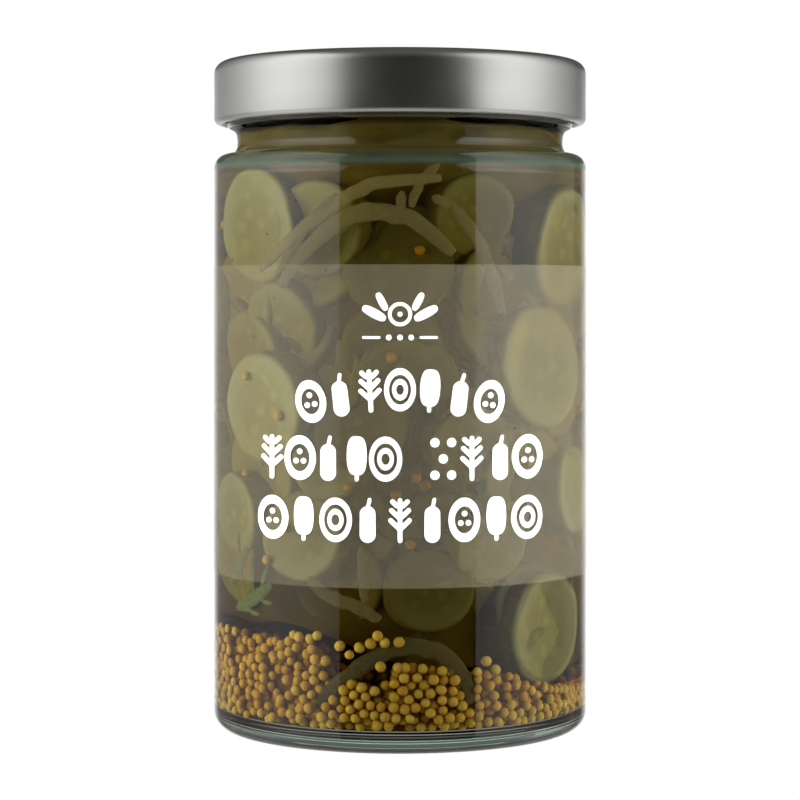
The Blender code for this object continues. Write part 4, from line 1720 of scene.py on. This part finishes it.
class PICKLEJAR_OT_dill(bpy.types.Operator):
    """Add the dill leaves above the mustard seeds"""

    bl_idname = "picklejar.dill"
    bl_label = "Dill"

    def execute(self, context):
        material = dill_leaf()
        for i, places in enumerate(DILL_LEAVES):
            piece = strip_piece("dill_%d" % (i + 1), places, 3.4 * MM, 0.5, 0.85, 0.6)
            settle(piece, 80.0)
            dress(piece, material, ("dill_leaf_%d" % (i + 1),))
        thin = [
            strip_piece("leaflet", places, 1.1 * MM, 0.35, 0.9, 0.5) for places in DILL_LEAFLETS
        ]
        leaflets = join("dill_leaflets", thin)
        settle(leaflets, 80.0)
        dress(leaflets, material)

        chance = random.Random(9)
        flecks = []
        for turn, height in FLECKS:
            deselect()
            bpy.ops.mesh.primitive_ico_sphere_add(subdivisions=2, radius=0.32 * MM)
            fleck = bpy.context.active_object
            fleck.scale = (chance.uniform(0.6, 1.5), 0.35, chance.uniform(0.5, 1.1))
            fleck.rotation_euler.z = math.radians(turn)
            fleck.location = at(turn, height, INNER_RADIUS - 0.3)
            flecks.append(fleck)
        dots = join("herb_flecks", flecks)
        settle(dots, 180.0)
        dress(dots, dark_herb())
        return {"FINISHED"}


# Stage


def softbox(name, place, aim, size, power, fade=()):
    """A rectangular studio light. fade lists places across it, from 0 to 1, with the strength."""
    light = bpy.data.lights.new(name, "AREA")
    light.shape = "RECTANGLE"
    light.size, light.size_y = size
    light.energy = power
    made = bpy.data.objects.new(name, light)
    made.location = place
    made.rotation_euler = (Vector(aim) - Vector(place)).to_track_quat("-Z", "Y").to_euler()
    made.visible_camera = False
    if fade:
        light.use_nodes = True
        tree = light.node_tree
        across = add(tree, "ShaderNodeNewGeometry", {}, {})
        axes = add(tree, "ShaderNodeSeparateXYZ", {}, {0: across.outputs["Parametric"]})
        ramp = add(tree, "ShaderNodeValToRGB", {}, {"Fac": axes.outputs["X"]})
        stops = ramp.color_ramp.elements
        while len(stops) < len(fade):
            stops.new(0.5)
        for stop, (spot, strength) in zip(list(stops), sorted(fade)):
            stop.position = spot
            stop.color = (strength, strength, strength, 1.0)
        # The panels hang, so they are dimmer towards their lower edge.
        hung = add(
            tree,
            "ShaderNodeMapRange",
            {"interpolation_type": "SMOOTHSTEP"},
            {"Value": axes.outputs["Y"], 1: 0.26, 2: 0.45, 3: 0.45, 4: 1.0},
        )
        strength = add(
            tree,
            "ShaderNodeMath",
            {"operation": "MULTIPLY"},
            {0: ramp.outputs[0], 1: hung.outputs[0]},
        )
        tree.links.new(strength.outputs[0], tree.nodes["Emission"].inputs["Strength"])
    bpy.context.scene.collection.objects.link(made)
    return made


def studio_world():
    """White behind for the camera, white behind the jar for its glass, and dark in front."""
    world = bpy.data.worlds.new("studio")
    world.use_nodes = True
    tree = world.node_tree
    tree.nodes.clear()
    out = tree.nodes.new("ShaderNodeOutputWorld")
    way = add(tree, "ShaderNodeTexCoord", {}, {})
    axes = add(tree, "ShaderNodeSeparateXYZ", {}, {0: way.outputs["Generated"]})
    behind = add(
        tree,
        "ShaderNodeMapRange",
        {"interpolation_type": "SMOOTHSTEP"},
        {"Value": axes.outputs["Y"], 1: 0.1, 2: 0.75, 3: 0.05, 4: 1.0},
    )
    # Mirrors see most of the white behind dimmer than the glass does.
    mirrored = add(
        tree, "ShaderNodeMapRange", {}, {"Value": axes.outputs["Y"], 1: 0.84, 2: 0.96, 3: 0.22, 4: 1.0}
    )
    path = add(tree, "ShaderNodeLightPath", {}, {})
    share = add(
        tree,
        "ShaderNodeMapRange",
        {},
        {"Value": path.outputs["Is Transmission Ray"], 3: mirrored.outputs[0], 4: 1.0},
    )
    dimmed = add(
        tree,
        "ShaderNodeMath",
        {"operation": "MULTIPLY"},
        {0: behind.outputs[0], 1: share.outputs[0]},
    )
    # The white behind ends a little above the jar.
    low = add(
        tree,
        "ShaderNodeMapRange",
        {"interpolation_type": "SMOOTHSTEP"},
        {"Value": axes.outputs["Z"], 1: 0.08, 2: 0.15, 3: 1.0, 4: 0.15},
    )
    above = add(
        tree, "ShaderNodeMapRange", {}, {"Value": axes.outputs["Z"], 1: 0.4, 2: 0.9, 4: 0.12}
    )
    # The table shows in the foot's round corner.
    below = add(
        tree,
        "ShaderNodeMapRange",
        {},
        {"Value": axes.outputs["Z"], 1: -0.3, 2: -0.7, 3: above.outputs[0], 4: 0.6},
    )
    strength = add(
        tree,
        "ShaderNodeMath",
        {"operation": "MULTIPLY_ADD"},
        {0: dimmed.outputs[0], 1: low.outputs[0], 2: below.outputs[0]},
    )
    room = add(
        tree, "ShaderNodeBackground", {}, {"Color": (1, 1, 1), "Strength": strength.outputs[0]}
    )
    white = add(tree, "ShaderNodeBackground", {}, {"Color": (1, 1, 1), "Strength": 1.0})
    both = add(
        tree,
        "ShaderNodeMixShader",
        {},
        {0: path.outputs["Is Camera Ray"], 1: room.outputs[0], 2: white.outputs[0]},
    )
    tree.links.new(both.outputs[0], out.inputs["Surface"])
    bpy.context.scene.world = world


def pale_floor():
    """The floor's material: white to the camera, pale grey to the jar."""
    made, out = new_material("studio_floor")
    tree = made.node_tree
    path = add(tree, "ShaderNodeLightPath", {}, {})
    white = add(tree, "ShaderNodeEmission", {}, {"Color": (1, 1, 1), "Strength": 1.0})
    grey = add(tree, "ShaderNodeEmission", {}, {"Color": (1, 1, 1), "Strength": 0.3})
    both = add(
        tree,
        "ShaderNodeMixShader",
        {},
        {0: path.outputs["Is Camera Ray"], 1: grey.outputs[0], 2: white.outputs[0]},
    )
    tree.links.new(both.outputs[0], out.inputs["Surface"])
    return made


class PICKLEJAR_OT_stage(bpy.types.Operator):
    """Add the floor, the lights, the white background and the camera"""

    bl_idname = "picklejar.stage"
    bl_label = "Stage"

    def execute(self, context):
        deselect()
        bpy.ops.mesh.primitive_circle_add(
            vertices=96, radius=0.16, fill_type="NGON", location=(0.0, 0.0, -0.0004)
        )
        floor = bpy.context.active_object
        floor.name = "floor"
        floor.data.materials.append(pale_floor())
        floor.visible_glossy = False
        studio_world()
        left, right = (-0.6, 0.05, 0.3), (0.6, -0.01, 0.3)
        softbox("left_panel", left, (0.0, 0.05, 0.3), (1.75, 1.6), 16.0, LEFT_FADE)
        softbox("right_panel", right, (0.0, -0.01, 0.3), (1.16, 1.6), 10.6, RIGHT_FADE)
        # These light what is in the jar from both sides, and show in no mirror.
        for side, power in ((-1.0, 3.8), (1.0, 3.3)):
            place = (0.52 * side, -0.1, 0.06)
            inside = softbox("contents_light", place, (0.0, 0.0, 0.06), (0.5, 0.3), power)
            inside.visible_glossy = inside.visible_transmission = False
        fill = softbox("print_fill", (0.0, -1.2, 0.5), (0.0, 0.0, 0.08), (0.9, 0.9), 14.0)
        printed = bpy.data.collections.new("printed_label")
        for name in ("film_label", "label_print"):
            printed.objects.link(bpy.data.objects[name])
        fill.light_linking.receiver_collection = printed
        fill.visible_glossy = fill.visible_transmission = False
        camera = bpy.data.cameras.new("camera")
        camera.lens = 119.25
        camera.sensor_width = 36.0
        camera.shift_y = -0.131
        eye = bpy.data.objects.new("camera", camera)
        eye.location = (0.0, -0.6113, 0.09907)
        eye.rotation_euler = (math.radians(90.0), 0.0, 0.0)
        context.scene.collection.objects.link(eye)
        context.scene.camera = eye
        context.scene.view_settings.view_transform = "Standard"
        return {"FINISHED"}


class PICKLEJAR_PT_panel(bpy.types.Panel):
    """The jar's pieces, sizes and colours in the sidebar"""

    bl_idname = "PICKLEJAR_PT_panel"
    bl_label = "Pickle Jar"
    bl_space_type = "VIEW_3D"
    bl_region_type = "UI"
    bl_category = "Pickle Jar"

    def draw(self, context):
        for name in PIECES:
            self.layout.operator("picklejar." + name)
        for group in (context.scene.pickle_jar_sizes, context.scene.pickle_jar_colours):
            for name in group.bl_rna.properties.keys():
                if name not in ("rna_type", "name"):
                    self.layout.prop(group, name)


LEFT_FADE = (
    (0.0, 0.14), (0.24, 0.19), (0.37, 0.34), (0.456, 0.56), (0.53, 0.86), (0.6, 1.0), (0.65, 1.0),
    (0.71, 0.93), (0.78, 0.84), (0.87, 0.72), (1.0, 0.58),
)
RIGHT_FADE = (
    (0.0, 0.78), (0.147, 0.92), (0.256, 1.0), (0.464, 0.88), (0.535, 0.71), (0.638, 0.46),
    (0.772, 0.24), (1.0, 0.12),
)
PIECES = ("glass", "brine", "lid", "label", "cucumbers", "seeds", "strips", "dill", "stage")
CLASSES = (
    PickleJarSizes,
    PickleJarColours,
    PICKLEJAR_OT_glass,
    PICKLEJAR_OT_brine,
    PICKLEJAR_OT_lid,
    PICKLEJAR_OT_label,
    PICKLEJAR_OT_cucumbers,
    PICKLEJAR_OT_seeds,
    PICKLEJAR_OT_strips,
    PICKLEJAR_OT_dill,
    PICKLEJAR_OT_stage,
    PICKLEJAR_PT_panel,
)


def register():
    for kind in CLASSES:
        bpy.utils.register_class(kind)
    bpy.types.Scene.pickle_jar_sizes = bpy.props.PointerProperty(type=PickleJarSizes)
    bpy.types.Scene.pickle_jar_colours = bpy.props.PointerProperty(type=PickleJarColours)


def unregister():
    del bpy.types.Scene.pickle_jar_sizes
    del bpy.types.Scene.pickle_jar_colours
    for kind in reversed(CLASSES):
        bpy.utils.unregister_class(kind)


def main():
    register()
    for name in PIECES:
        if getattr(bpy.ops.picklejar, name)() != {"FINISHED"}:
            raise RuntimeError("the piece %s wasn't finished" % name)


if __name__ == "__main__":
    main()
